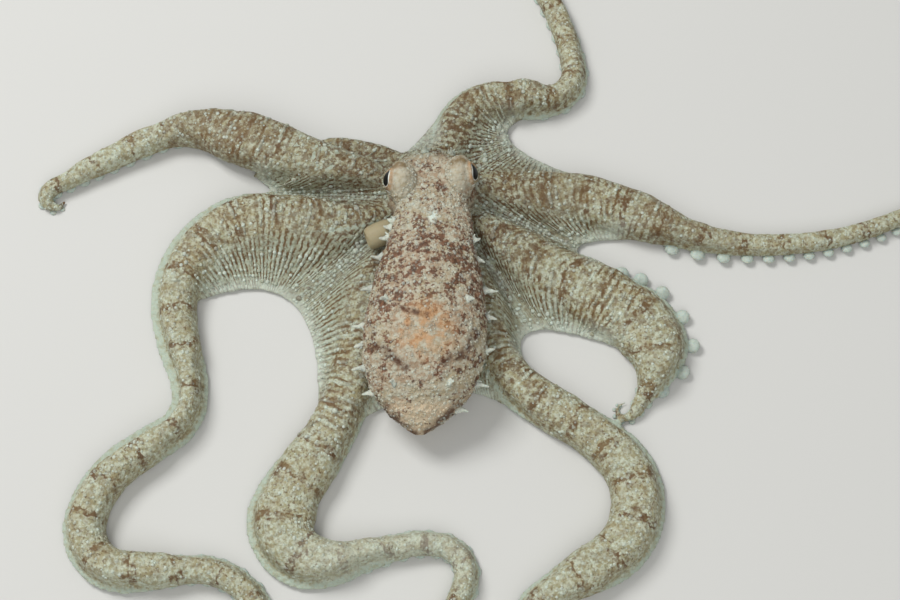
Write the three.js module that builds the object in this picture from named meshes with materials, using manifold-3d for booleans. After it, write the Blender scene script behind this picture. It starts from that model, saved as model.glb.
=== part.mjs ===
// A small algae octopus at rest on a flat floor, in millimetres, +Z up.
//
// The origin lies on the floor under the mouth. The mantle points along -Y, the head faces +Y,
// and the animal's left side is at -X. Every arm, the web and the crown lie flat on the floor
// (z = 0); the mantle rides on the rear arms, and the head stands on the crown.
import * as THREE from 'three';
import { mergeVertices } from 'three/addons/utils/BufferGeometryUtils.js';
import Module from 'manifold-3d';

const wasm = await Module();
wasm.setup();

// ---------------------------------------------------------------- driving dimensions
const GAP = 0.3;                       // clearance between neighbouring pieces
const FLOOR = 0;
const SAME_PLACE = 1e-4;               // points closer than this are one point

const CROWN = { x: 0.3, y: 0.8, radius: 7.8, height: 4.0, sides: 20 };

// The head is a low dome, cut flat where it meets the crown below and the mantle behind.
const HEAD = { x: 0.5, y: 1.4, z: 8.6, halfWidth: 9.4, halfLength: 9.2, halfHeight: 6.0 };
const HEAD_SOLE = CROWN.height + GAP;
const NECK_Y = -7.4;                   // plane where head and mantle meet

// Each eye is a ball sunk in a raised dome of the head.
const EYE_RADIUS = 3.0;
const EYES = {
  left: { ball: [-7.2, 0.6, 13.0], dome: [-6.0, 0.9, 12.1] },
  right: { ball: [7.7, 2.1, 13.0], dome: [6.5, 2.2, 12.1] },
};
const EYE_DOME_RADII = [3.7, 5.2, 4.9];

// The mantle is a flattened sac from the neck to the rear point.
const MANTLE_LENGTH = 48;
const MANTLE_LEAN = -2.4;              // sideways drift of the rear point
const MANTLE_RINGS = 16;
const MANTLE_SIDES = 20;
const MANTLE_CROWDING = 1.35;          // crowds the rings towards the rear, where the sac closes
const MANTLE_FLOW = 0.4;               // share of smooth blending between stations

// Stations along the mantle, from the neck (0) to the rear point (1).
const MANTLE_PROFILE = [
  { at: 0.00, half: 9.2, axis: 11.2, up: 5.0, down: 4.2 },
  { at: 0.12, half: 9.9, axis: 11.7, up: 6.4, down: 4.5 },
  { at: 0.30, half: 12.0, axis: 12.1, up: 7.5, down: 5.3 },
  { at: 0.50, half: 13.5, axis: 12.0, up: 8.2, down: 7.8 },
  { at: 0.68, half: 13.4, axis: 11.4, up: 7.6, down: 8.0 },
  { at: 0.82, half: 11.0, axis: 10.0, up: 5.8, down: 6.4 },
  { at: 0.92, half: 6.6, axis: 8.6, up: 3.6, down: 4.2 },
  { at: 1.00, half: 1.0, axis: 7.2, up: 0.7, down: 0.9 },
];

// Soft pointed papillae: along is the station on the mantle, turn the angle round it
// (0 is the right flank, 90 the back, 180 the left flank), both seen from behind.
const MANTLE_PAPILLAE = [
  { along: 0.10, turn: 170, length: 2.2 },
  { along: 0.19, turn: 175, length: 2.8 },
  { along: 0.34, turn: 180, length: 2.8 },
  { along: 0.52, turn: 178, length: 2.8 },
  { along: 0.60, turn: 182, length: 2.2 },
  { along: 0.71, turn: 176, length: 3.0 },
  { along: 0.82, turn: 178, length: 2.4 },
  { along: 0.11, turn: 8, length: 1.8 },
  { along: 0.20, turn: 4, length: 2.0 },
  { along: 0.35, turn: 2, length: 3.4 },
  { along: 0.47, turn: 0, length: 2.6 },
  { along: 0.63, turn: 2, length: 2.2 },
  { along: 0.78, turn: 2, length: 3.0 },
  { along: 0.89, turn: 4, length: 2.6 },
  { along: 0.43, turn: 132, length: 2.2 },
  { along: 0.43, turn: 46, length: 2.2 },
  { along: 0.80, turn: 58, length: 1.6 },
  { along: 0.80, turn: 122, length: 1.6 },
];
const PAPILLA_RADIUS = 0.95;
const PAPILLA_FOOT = 0.96;             // share of the way out to the surface where one stands
const HEAD_PAPILLAE = [
  { at: [-1.0, 8.2, 12.2], lean: [-0.1, 0.5, 1.0], length: 2.2 },
  { at: [4.9, 8.6, 12.0], lean: [0.2, 0.5, 1.0], length: 2.2 },
];

const FUNNEL = { from: [-8.8, -9.7, 9.9], to: [-13.8, -11.7, 9.9], rootRadius: 2.9, tipRadius: 2.6,
  bore: 1.1, boreDepth: 2.5 };

// Arms: start on the crown, heading in degrees from +X, the width there, and then a chain of
// arcs [length, bend, width at its end]. A positive bend turns left. The last figure of each
// arm is the number of lengths it is divided into.
const ARM_ROOT_WIDTH = 6.0;
const ARMS = {
  arm_left_1: { start: [-4.0, 8.4], heading: 146, fullness: 0.6, rise: 0.8, lengths: 2, arcs: [
    [9, 14, 6.0], [9, 10, 4.6], [8, 75, 3.8], [8, 85, 3.0], [7, 90, 2.3], [5, 95, 1.6],
    [4, 90, 1]] },
  arm_left_2: { start: [-9.2, 4.2], heading: 161, lift: 2.5, lengths: 3, arcs: [
    [12, 5, 9.6], [14, -6, 13.6], [12, -8, 14], [8, 28, 11], [8, 26, 7.8], [12, 2, 6.5],
    [15, 0, 5.4], [3, 60, 4.6], [4, 100, 2.8], [3, 90, 1.2]] },
  arm_left_3: { start: [-9.6, -3.6], heading: -162, lengths: 5, arcs: [
    [12, -27, 9.6], [12, 0, 11.8], [11, 35, 13.4], [27, 72, 11.4], [11, 13, 10], [8, -21, 9.4],
    [10, -58, 9.6], [9, 4, 10.2], [16, 40, 10.5], [18, 106, 10], [12, 4, 7.5], [20, -72, 7],
    [14, -46, 7], [22, -10, 6], [20, 50, 5], [18, 40, 4], [16, 10, 3], [14, -50, 2],
    [12, -80, 1]] },
  arm_left_4: { start: [-5.2, -7.9], heading: -124, lengths: 4, arcs: [
    [10, 12, 11], [13, 9, 11], [14, -1, 11.5], [13, -16, 12], [10, -8, 14], [9, 26, 16.2],
    [14, 93, 13], [9, 29, 8.4], [10, -6, 6.8], [8, -22, 6.5], [12, -100, 6.5], [14, -30, 6],
    [16, 30, 5.5], [20, 60, 4.5], [18, 20, 3.6], [16, -70, 2.6], [14, -80, 1.8],
    [10, -60, 1]] },
  arm_right_1: { start: [2.5, 10.0], heading: 77, lengths: 3, arcs: [
    [9, -8, 10.2], [13, -67, 10.8], [8, -14, 10], [4, 24, 8], [11, 84, 7], [10, 14, 6.5],
    [16, 8, 6], [20, -30, 5], [20, -40, 4], [18, -20, 3], [16, 60, 2], [14, 90, 1]] },
  arm_right_2: { start: [9.6, 2.2], heading: 3, lengths: 3, arcs: [
    [14, -6, 12], [12, -10, 14], [12, -12, 12], [10, 6, 8], [14, 16, 6], [14, 10, 5.5],
    [16, 14, 5], [14, 4, 4.4], [16, -30, 3.8], [16, -40, 3.2], [16, -30, 2.5], [14, 60, 1.8],
    [14, 90, 1]] },
  arm_right_3: { start: [9.6, -4.3], heading: -39, lengths: 2, arcs: [
    [15, 4, 12], [12, 10, 15], [14, -8, 17], [10, -50, 16.4], [6, -24, 9.6], [5, -18, 5.2],
    [4, 6, 3.8], [3, -60, 2.8], [3, -100, 1.9], [3, -90, 1]] },
  arm_right_4: { start: [5.2, -8.2], heading: -68, lengths: 5, arcs: [
    [14, -7, 11], [14, 5, 11], [12, 34, 11], [12, 8, 11], [12, -20, 12.5], [14, -52, 13],
    [14, -54, 12], [12, 6, 9], [10, 40, 8.5], [14, 60, 8], [20, 50, 7], [22, -20, 6],
    [20, -60, 5], [20, -50, 4], [18, -30, 3], [16, 40, 2], [14, 80, 1]] },
};
const ARM_MAX_HEIGHT = 7.4;
const ARM_FULLNESS = 0.78;             // height of the arm for each millimetre of width
const ARM_ROOT_RISE = 2.0;             // extra height where it joins the crown
const ARM_ROOT_REACH = 20;
const LIFT_ENDS = [30, 48];            // a lifted arm comes down to the floor between these
const STEP_LENGTH = 6.0;               // longest and most bent step between two rings
const STEP_BEND = 20;
const STEP_MARGIN = 1;                 // no ring stands closer than this to an end

// Arm section, from the left edge of the sole over the back to the right edge, for a half
// width of 1 and a height of 1. The sole closes it.
const ARM_SECTION = [
  [0.82, 0.0], [1.0, 0.28], [0.84, 0.7], [0.36, 0.98],
  [-0.36, 0.98], [-0.84, 0.7], [-1.0, 0.28], [-0.82, 0.0],
];

// The web fills the corner between two arms: how far it runs along each arm, and the deepest
// point of its free edge, which is drawn in towards the mouth.
const WEBS = {
  web_left_1_2: { arms: ['arm_left_1', 'arm_left_2'], reach: [14, 20], deepest: [-23.5, 12.8], top: 2.6 },
  web_left_2_3: { arms: ['arm_left_2', 'arm_left_3'], reach: [30, 30], deepest: [-35.2, 2.8] },
  web_left_3_4: { arms: ['arm_left_3', 'arm_left_4'], reach: [58, 44], deepest: [-30.4, -23.2] },
  web_rear: { arms: ['arm_left_4', 'arm_right_4'], reach: [42, 38], deepest: [3.0, -43.6], top: 2.2, rise: 0 },
  web_right_3_4: { arms: ['arm_right_4', 'arm_right_3'], reach: [36, 46], deepest: [22.8, -29.8] },
  web_right_2_3: { arms: ['arm_right_3', 'arm_right_2'], reach: [32, 38], deepest: [33.0, -10.1] },
  web_right_1_2: { arms: ['arm_right_2', 'arm_right_1'], reach: [24, 28], deepest: [18.9, 14.3] },
  web_front: { arms: ['arm_right_1', 'arm_left_1'], reach: [9, 6], deepest: [-5.0, 13.4], top: 2.6 },
};
const WEB_TOP = 4.6;                   // height of the web beside the head
const WEB_EDGE = 1.5;                  // height of its free edge
const WEB_HOLD = 0.9;                  // share of the arm's half width where the free edge ends
const WEB_STEP = 9;
const WEB_TRIM_REACH = 90;             // no web meets an arm further out than this
const WEB_SLOPE = { from: 10, to: 34 }; // distance from the mouth over which it sinks
const WEB_RISE = 0.8;                  // share of an arm's height at which the web leaves it
const WEB_FREE = [4, 22];              // along an arm, the web comes out from under the head here

// ---------------------------------------------------------------- colours
const finish = (color, roughness) => new THREE.MeshStandardMaterial({ color, roughness, metalness: 0 });
const SKIN = finish(0xb9a48c, 0.62);
const WEB_SKIN = finish(0xa8a18c, 0.6);
const MANTLE_SKIN = finish(0xb2917c, 0.62);
const FUNNEL_SKIN = finish(0xa3916f, 0.55);
const EYE = finish(0x14110f, 0.12);

// ---------------------------------------------------------------- solids
const radians = THREE.MathUtils.degToRad;

function toSolid(geometry) {
  const bare = geometry.clone();
  bare.deleteAttribute('normal');
  bare.deleteAttribute('uv');
  const merged = mergeVertices(bare, SAME_PLACE);
  return new wasm.Manifold(new wasm.Mesh({
    numProp: 3,
    vertProperties: new Float32Array(merged.attributes.position.array),
    triVerts: new Uint32Array(merged.index.array),
  }));
}

function toGeometry(solid) {
  const mesh = solid.getMesh();
  const geometry = new THREE.BufferGeometry();
  geometry.setAttribute('position', new THREE.BufferAttribute(mesh.vertProperties, 3));
  geometry.setIndex(new THREE.BufferAttribute(mesh.triVerts, 1));
  geometry.computeVertexNormals();
  return geometry;
}

// A cut can leave chips; only the main body is kept.
function mainBody(solid) {
  return solid.decompose().reduce((a, b) => (a.volume() > b.volume() ? a : b));
}

// Moves each vertex of a geometry to where place(vertex) puts it.
function reshape(geometry, place) {
  const position = geometry.attributes.position;
  const vertex = new THREE.Vector3();
  for (let i = 0; i < position.count; i += 1) {
    vertex.fromBufferAttribute(position, i);
    place(vertex);
    position.setXYZ(i, vertex.x, vertex.y, vertex.z);
  }
  geometry.computeVertexNormals();
  return geometry;
}

function ellipsoid(centre, radii, columns, rows) {
  const ball = new THREE.SphereGeometry(1, columns, rows);
  ball.scale(...radii);
  ball.translate(...centre);
  return ball;
}

// A cone with a rounded point, standing at a place and leaning along a direction. Its foot is
// sunk below the surface by one radius.
function papilla(at, direction, length, radius) {
  const profile = [
    [0, -radius], [radius, -radius], [radius * 0.8, length * 0.3], [0, length],
  ].map(([r, z]) => new THREE.Vector2(r, z));
  const cone = new THREE.LatheGeometry(profile, 5);
  const turn = new THREE.Quaternion().setFromUnitVectors(
    new THREE.Vector3(0, 1, 0), new THREE.Vector3(...direction).normalize());
  cone.applyQuaternion(turn);
  cone.translate(...at);
  return toSolid(cone);
}

// ---------------------------------------------------------------- arms

// Walks the chain of arcs and gives the place, heading and width at a length along the arm.
function armAt(arm, length) {
  let [x, y] = arm.start;
  let heading = radians(arm.heading);
  let width = ARM_ROOT_WIDTH;
  let left = length;
  for (const [arcLength, bend, endWidth] of arm.arcs) {
    const part = Math.min(left, arcLength);
    const turn = radians(bend) * (part / arcLength);
    const chord = turn === 0 ? part : part * Math.sin(turn / 2) / (turn / 2);
    x += chord * Math.cos(heading + turn / 2);
    y += chord * Math.sin(heading + turn / 2);
    heading += turn;
    width += (endWidth - width) * (part / arcLength);
    left -= part;
    if (left <= 0) break;
  }
  return { x, y, heading, width };
}

const armLength = (arm) => arm.arcs.reduce((sum, [length]) => sum + length, 0);

function armHeight(arm, length, width) {
  const root = 1 - THREE.MathUtils.smoothstep(length, 0, ARM_ROOT_REACH);
  const height = width * (arm.fullness ?? ARM_FULLNESS) + root * (arm.rise ?? ARM_ROOT_RISE);
  return Math.min(ARM_MAX_HEIGHT, height);
}

function armLift(arm, length) {
  return (arm.lift ?? 0) * (1 - THREE.MathUtils.smoothstep(length, ...LIFT_ENDS));
}

// Places of the rings between two lengths, closer where the arm bends.
function armStations(arm, from, to) {
  const stations = [from];
  let start = 0;
  for (const [arcLength, bend] of arm.arcs) {
    const steps = Math.max(Math.ceil(arcLength / STEP_LENGTH), Math.ceil(Math.abs(bend) / STEP_BEND));
    for (let i = 0; i < steps; i += 1) {
      const at = start + arcLength * i / steps;
      if (at > from + STEP_MARGIN && at < to - STEP_MARGIN) stations.push(at);
    }
    start += arcLength;
  }
  stations.push(to);
  return stations;
}

// A length of arm: a capped cylinder whose rings follow the arm. grow swells it all round.
function armGeometry(arm, from, to, grow = 0) {
  const stations = armStations(arm, from, to);
  const sides = ARM_SECTION.length;
  const tube = new THREE.CylinderGeometry(1, 1, 1, sides, stations.length - 1);
  return reshape(tube, (vertex) => {
    const row = Math.round((0.5 + vertex.y) * (stations.length - 1));
    const length = stations[row];
    const { x, y, heading, width } = armAt(arm, length);
    const height = armHeight(arm, length, width);
    const sole = FLOOR + armLift(arm, length);
    const onAxis = Math.hypot(vertex.x, vertex.z) < 0.5;
    const corner = Math.round(Math.atan2(vertex.x, vertex.z) / (2 * Math.PI / sides) + sides) % sides;
    const [across, over] = onAxis ? [0, 0.5] : ARM_SECTION[corner];
    const side = across * (width / 2 + grow);
    vertex.set(
      x - Math.sin(heading) * side,
      y + Math.cos(heading) * side,
      sole + over * height + grow * (over > 0 ? 1 : -1),
    );
  });
}

// ---------------------------------------------------------------- mantle, head, eyes, funnel

function mantleAt(at) {
  const profile = MANTLE_PROFILE;
  const next = Math.max(1, profile.findIndex((station) => station.at >= at));
  const [a, b] = [profile[next - 1], profile[next]];
  const smooth = THREE.MathUtils.smootherstep(at, a.at, b.at);
  const straight = (at - a.at) / (b.at - a.at);
  const blend = MANTLE_FLOW * smooth + (1 - MANTLE_FLOW) * straight;
  const between = (key) => a[key] + (b[key] - a[key]) * blend;
  return { half: between('half'), axis: between('axis'), up: between('up'), down: between('down') };
}

function mantlePoint(at, turn, out = 1, grow = 0) {
  const { half, axis, up, down } = mantleAt(at);
  const rise = Math.sin(turn);
  return new THREE.Vector3(
    HEAD.x + MANTLE_LEAN * at + (half + grow) * Math.cos(turn) * out,
    NECK_Y - GAP / 2 - MANTLE_LENGTH * at,
    axis + ((rise > 0 ? up : down) + grow) * rise * out,
  );
}

// The sac with its papillae; grow swells it to make a clearance.
function mantleSolid(grow = 0) {
  const tube = new THREE.CylinderGeometry(1, 1, 1, MANTLE_SIDES, MANTLE_RINGS);
  reshape(tube, (vertex) => {
    const along = 0.5 - vertex.y;
    const at = 1 - (1 - along) ** MANTLE_CROWDING;
    const out = Math.min(1, Math.hypot(vertex.x, vertex.z));
    vertex.copy(mantlePoint(at, Math.atan2(vertex.z, vertex.x), out, grow));
  });
  let sac = toSolid(tube);
  for (const { along, turn, length } of MANTLE_PAPILLAE) {
    const at = mantlePoint(along, radians(turn), PAPILLA_FOOT);
    const direction = mantlePoint(along, radians(turn), 2).sub(at);
    sac = sac.add(papilla(at.toArray(), direction.toArray(), length, PAPILLA_RADIUS));
  }
  return sac;
}

function headSolid() {
  const { x, y, z, halfWidth, halfLength, halfHeight } = HEAD;
  const skull = ellipsoid([x, y, z], [halfWidth, halfLength, halfHeight], 20, 12);
  let head = toSolid(skull);
  for (const { dome } of Object.values(EYES)) {
    head = head.add(toSolid(ellipsoid(dome, EYE_DOME_RADII, 14, 10)));
  }
  for (const { at, lean, length } of HEAD_PAPILLAE) {
    head = head.add(papilla(at, lean, length, PAPILLA_RADIUS));
  }
  for (const { ball } of Object.values(EYES)) {
    const socket = EYE_RADIUS + GAP;
    head = head.subtract(toSolid(ellipsoid(ball, [socket, socket, socket], 14, 9)));
  }
  return head.trimByPlane([0, 0, 1], HEAD_SOLE).trimByPlane([0, 1, 0], NECK_Y + GAP / 2);
}

function funnelSolid() {
  const from = new THREE.Vector3(...FUNNEL.from);
  const axis = new THREE.Vector3(...FUNNEL.to).sub(from);
  const length = axis.length();
  const { rootRadius, tipRadius, bore, boreDepth } = FUNNEL;
  const profile = [
    [0, 0], [rootRadius, 0], [rootRadius * 0.98, length * 0.5], [tipRadius, length],
    [bore, length], [bore, length - boreDepth], [0, length - boreDepth],
  ].map(([r, z]) => new THREE.Vector2(r, z));
  const tube = new THREE.LatheGeometry(profile, 14);
  tube.applyQuaternion(new THREE.Quaternion().setFromUnitVectors(
    new THREE.Vector3(0, 1, 0), axis.normalize()));
  tube.translate(...FUNNEL.from);
  return toSolid(tube);
}

function crownSolid() {
  const disc = new THREE.CylinderGeometry(CROWN.radius, CROWN.radius, CROWN.height, CROWN.sides);
  disc.rotateX(Math.PI / 2);
  disc.translate(CROWN.x, CROWN.y, CROWN.height / 2);
  return toSolid(disc);
}

// ---------------------------------------------------------------- web

// The outline runs from the mouth along the first arm, back along the free edge and home along
// the second arm. The sheet is highest beside the arms and sinks to the free edge.
function webSolid({ arms, reach, deepest, top = WEB_TOP, rise = WEB_RISE }) {
  const [first, second] = arms.map((name) => ARMS[name]);
  const outline = new THREE.Shape();
  const crests = [];
  const sunk = (x, y) => {
    const sink = THREE.MathUtils.smoothstep(Math.hypot(x, y), WEB_SLOPE.from, WEB_SLOPE.to);
    return top + (Math.min(WEB_EDGE, top) - top) * sink;
  };
  const along = (arm, length) => {
    const { x, y, width } = armAt(arm, length);
    const free = THREE.MathUtils.smoothstep(length, ...WEB_FREE);
    const crest = rise * armHeight(arm, length, width) + armLift(arm, length);
    crests.push({ x, y, height: Math.max(sunk(x, y), free * crest) });
    return [x, y];
  };
  const [firstEnd, secondEnd] = [[first, reach[0], 1], [second, reach[1], -1]].map(([arm, length, side]) => {
    const { x, y, heading, width } = armAt(arm, length);
    const out = side * WEB_HOLD * width / 2;
    return [x - Math.sin(heading) * out, y + Math.cos(heading) * out];
  });
  const pull = [0, 1].map((axis) => 2 * deepest[axis] - (firstEnd[axis] + secondEnd[axis]) / 2);
  outline.moveTo(CROWN.x, CROWN.y);
  for (let length = 0; length < reach[0]; length += WEB_STEP) outline.lineTo(...along(first, length));
  outline.lineTo(...along(first, reach[0]));
  outline.lineTo(...firstEnd);
  outline.quadraticCurveTo(...pull, ...secondEnd);
  outline.lineTo(...along(second, reach[1]));
  for (let length = reach[1] - WEB_STEP; length > 0; length -= WEB_STEP) {
    outline.lineTo(...along(second, length));
  }
  outline.lineTo(...along(second, 0));
  const slab = new THREE.ExtrudeGeometry(outline, { depth: 1, bevelEnabled: false, curveSegments: 7 });
  reshape(slab, (vertex) => {
    const crest = crests.find(({ x, y }) => Math.hypot(vertex.x - x, vertex.y - y) < SAME_PLACE);
    const height = crest ? crest.height : sunk(vertex.x, vertex.y);
    vertex.z = vertex.z > 0.5 ? FLOOR + height : FLOOR;
  });
  return toSolid(slab);
}

// ---------------------------------------------------------------- the octopus

const octopus = new THREE.Group();

function place(name, solid, material) {
  const mesh = new THREE.Mesh(toGeometry(solid), material);
  mesh.name = name;
  octopus.add(mesh);
}

const crown = crownSolid();
const head = headSolid();
const mantle = mantleSolid();
const funnel = funnelSolid().subtract(mantleSolid(GAP));
place('arm_crown', crown, WEB_SKIN);
place('head', mainBody(head), SKIN);
place('mantle', mantle, MANTLE_SKIN);
place('funnel', mainBody(funnel), FUNNEL_SKIN);
for (const [side, { ball }] of Object.entries(EYES)) {
  place(`eye_${side}`, toSolid(ellipsoid(ball, [EYE_RADIUS, EYE_RADIUS, EYE_RADIUS], 14, 9)), EYE);
}

for (const [name, arm] of Object.entries(ARMS)) {
  const piece = armLength(arm) / arm.lengths;
  for (let i = 0; i < arm.lengths; i += 1) {
    const from = i * piece + (i === 0 ? 0 : GAP / 2);
    const to = (i + 1) * piece - (i === arm.lengths - 1 ? 0 : GAP / 2);
    place(`${name}_part_${i + 1}`, toSolid(armGeometry(arm, from, to)), SKIN);
  }
}

// The web is trimmed back from everything it meets.
const crownClearance = new THREE.CylinderGeometry(
  CROWN.radius + GAP, CROWN.radius + GAP, 3 * CROWN.height, CROWN.sides);
crownClearance.rotateX(Math.PI / 2);
crownClearance.translate(CROWN.x, CROWN.y, 0);
for (const [name, web] of Object.entries(WEBS)) {
  let sheet = webSolid(web).subtract(toSolid(crownClearance));
  for (const arm of Object.values(ARMS)) {
    const near = Math.min(armLength(arm), WEB_TRIM_REACH);
    sheet = sheet.subtract(toSolid(armGeometry(arm, 0, near, GAP)));
    if (arm.lift) sheet = sheet.subtract(toSolid(armGeometry({ ...arm, lift: 0 }, 0, near, GAP)));
  }
  place(name, mainBody(sheet), WEB_SKIN);
}

export default octopus;
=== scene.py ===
import math
from collections import namedtuple

import bmesh
import bpy
import numpy as np
from mathutils import Matrix, Vector
from mathutils import noise
from mathutils.bvhtree import BVHTree
from mathutils.kdtree import KDTree


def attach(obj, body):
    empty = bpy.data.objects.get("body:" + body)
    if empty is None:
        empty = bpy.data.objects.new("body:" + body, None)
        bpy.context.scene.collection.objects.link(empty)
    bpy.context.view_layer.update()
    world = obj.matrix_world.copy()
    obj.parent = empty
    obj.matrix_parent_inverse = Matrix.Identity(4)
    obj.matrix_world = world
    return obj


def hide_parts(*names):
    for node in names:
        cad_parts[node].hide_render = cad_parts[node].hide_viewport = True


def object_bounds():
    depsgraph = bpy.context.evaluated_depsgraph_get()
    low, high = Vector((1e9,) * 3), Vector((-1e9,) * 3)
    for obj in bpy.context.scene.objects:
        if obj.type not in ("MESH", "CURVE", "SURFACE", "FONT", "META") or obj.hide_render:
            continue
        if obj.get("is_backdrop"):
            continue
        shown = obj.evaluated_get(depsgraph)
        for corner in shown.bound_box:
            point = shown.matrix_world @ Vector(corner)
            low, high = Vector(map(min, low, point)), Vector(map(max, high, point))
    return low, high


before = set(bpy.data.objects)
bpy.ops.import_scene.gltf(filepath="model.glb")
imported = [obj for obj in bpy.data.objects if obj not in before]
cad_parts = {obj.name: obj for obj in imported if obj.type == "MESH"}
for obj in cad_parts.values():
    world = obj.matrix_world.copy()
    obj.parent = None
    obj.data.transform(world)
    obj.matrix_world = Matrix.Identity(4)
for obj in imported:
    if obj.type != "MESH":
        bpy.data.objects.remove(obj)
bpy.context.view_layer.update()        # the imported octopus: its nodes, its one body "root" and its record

# ---------------------------------------------------------------- the arms
# Eight boneless rods of muscle, domed above and flat below, that leave the mouth and run over
# the floor in bends. Each arc is its length, its turn to the left in degrees and the width of
# the arm at its end, in mm. The convex side of a bend thins out to a pale brim over the suckers.
MM = 0.001                              # everything is modelled in mm and then brought to metres
COAT = 0.35                             # room left for folds and warts over the bare skin
ARM_ROOT_WIDTH = 6.0
ARM_MAX_HEIGHT = 7.4
ARM_FULLNESS = 0.78                     # height of an arm as a share of its width
ARM_ROOT_RISE = 2.0                     # the arms are higher by this where they leave the mouth
ARM_ROOT_REACH = 20                     # mm over which that rise dies out
LIFT_ENDS = (30, 48)                    # a lifted arm comes down to the floor over this stretch
ARM_STEP = 1.0
ARM_SIDES = 12                          # steps over the back of an arm
BACK_ROUNDNESS = 2.7                    # exponent of the domed back
BACK_LEAST = 0.7                        # the back stands at least this far over the sole
THINNEST_HALF = 0.55
BRIM_WIDTH = 1.7
BRIM_SHARE = 0.17                       # a brim is no wider than this share of the arm,
BROAD_BRIM_SHARE = 0.27                 # and a broad brim no wider than this
BRIM_DEPTH = 0.8
BRIM_DEPTH_SHARE = 0.45                 # of the height of the arm, where the arm is thin
BRIM_BEND = 0.03                        # bend per mm that brings the brim out in full
BRIM_EASE = 9                           # mm over which the brim comes and goes
BRIM_LEAST = 0.12                       # share of the brim that runs along every edge
SOLE_SHARE = 0.14                       # the sole stands this share of the width off the floor
SOLE_LIMIT = 0.8
SOLE_HOLLOW = 0.1                       # its middle is drawn up by this between the two edges

ARMS = {
    "arm_left_1": dict(start=(-4.0, 8.4), heading=146, fullness=0.6, rise=0.8, arcs=[
        (9, 14, 6.0), (9, 10, 4.6), (8, 75, 3.8), (8, 85, 3.0), (7, 90, 2.3), (5, 95, 1.6),
        (4, 90, 1)]),
    "arm_left_2": dict(start=(-9.2, 4.2), heading=161, lift=2.5, arcs=[
        (12, 5, 9.6), (14, -6, 13.6), (12, -8, 14), (8, 28, 11), (8, 26, 7.8), (12, 2, 6.5),
        (15, 0, 5.4), (3, 60, 4.6), (4, 100, 2.8), (3, 90, 1.2)]),
    "arm_left_3": dict(start=(-9.6, -3.6), heading=-162, brim=(26, 112, -1, 2.5), arcs=[
        (12, -27, 9.6), (12, 0, 11.8), (11, 35, 13.4), (27, 72, 11.4), (11, 13, 10), (8, -21, 9.4),
        (10, -58, 9.6), (9, 4, 10.2), (16, 40, 10.5), (18, 106, 10), (12, 4, 7.5), (20, -72, 7),
        (14, -46, 7), (22, -10, 6), (20, 50, 5), (18, 40, 4), (16, 10, 3), (14, -50, 2),
        (12, -80, 1)]),
    "arm_left_4": dict(start=(-5.2, -7.9), heading=-124, brim=(56, 104, -1, 2.2), arcs=[
        (10, 12, 11), (13, 9, 11), (14, -1, 11.5), (13, -16, 12), (10, -8, 14), (9, 26, 16.2),
        (14, 93, 13), (9, 29, 8.4), (10, -6, 6.8), (8, -22, 6.5), (12, -100, 6.5), (14, -30, 6),
        (16, 30, 5.5), (20, 60, 4.5), (18, 20, 3.6), (16, -70, 2.6), (14, -80, 1.8),
        (10, -60, 1)]),
    "arm_right_4": dict(start=(5.2, -8.2), heading=-68, brim=(16, 46, -1, 1.6), arcs=[
        (14, -7, 11), (14, 5, 11), (12, 34, 11), (12, 8, 11), (12, -20, 12.5), (14, -52, 13),
        (14, -54, 12), (12, 6, 9), (10, 40, 8.5), (14, 60, 8), (20, 50, 7), (22, -20, 6),
        (20, -60, 5), (20, -50, 4), (18, -30, 3), (16, 40, 2), (14, 80, 1)]),
    "arm_right_3": dict(start=(9.6, -4.3), heading=-39, brim=(30, 62, 1, 0.6), arcs=[
        (15, 4, 12), (12, 10, 15), (14, -8, 17), (10, -50, 16.4), (6, -24, 9.6), (5, -18, 5.2),
        (4, 6, 3.8), (3, -60, 2.8), (3, -100, 1.9), (3, -90, 1)]),
    "arm_right_2": dict(start=(9.6, 2.2), heading=3, brim=(42, 178, -1, 0.3), spread=0.8, arcs=[
        (14, -6, 12), (12, -10, 14), (12, -12, 12), (10, 6, 8), (14, 16, 6), (14, 10, 5.5),
        (16, 14, 5), (14, 4, 4.4), (16, -30, 3.8), (16, -40, 3.2), (16, -30, 2.5), (14, 60, 1.8),
        (14, 90, 1)]),
    "arm_right_1": dict(start=(2.5, 10.0), heading=77, arcs=[
        (9, -8, 10.2), (13, -67, 10.8), (8, -14, 10), (4, 24, 8), (11, 84, 7), (10, 14, 6.5),
        (16, 8, 6), (20, -30, 5), (20, -40, 4), (18, -20, 3), (16, 60, 2), (14, 90, 1)]),
}

Walk = namedtuple("Walk", "along x y heading width bend")


def smooth_step(value, low, high):
    """Runs smoothly from 0 to 1 while value goes from low to high."""
    part = np.clip((value - low) / (high - low), 0, 1)
    return part * part * (3 - 2 * part)


def walk(arm, step):
    """Follows an arm's chain of arcs and gives its course at even steps."""
    x, y = arm["start"]
    heading = math.radians(arm["heading"])
    width = ARM_ROOT_WIDTH
    along = 0
    course = []
    for length, turn, end_width in arm["arcs"]:
        turn = math.radians(turn)
        steps = max(1, round(length / step))
        for i in range(steps + 1):
            part = i / steps
            half_turn = turn * part / 2
            chord = length * part * (math.sin(half_turn) / half_turn if half_turn else 1)
            here = (along + length * part, x + chord * math.cos(heading + half_turn),
                    y + chord * math.sin(heading + half_turn), heading + 2 * half_turn,
                    width + (end_width - width) * part, turn / length)
            if i < steps:
                course.append(here)
        along, x, y, heading, width, _ = here
    course.append(here)
    return Walk(*np.array(course).T)


def arm_height(arm, course):
    """Height of an arm over its own sole, along its course."""
    rise = arm.get("rise", ARM_ROOT_RISE) * (1 - smooth_step(course.along, 0, ARM_ROOT_REACH))
    return np.minimum(ARM_MAX_HEIGHT, course.width * arm.get("fullness", ARM_FULLNESS) + rise)


def arm_lift(arm, course):
    """How far an arm that lies over its neighbour is lifted off the floor."""
    return arm.get("lift", 0) * (1 - smooth_step(course.along, *LIFT_ENDS))


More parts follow.
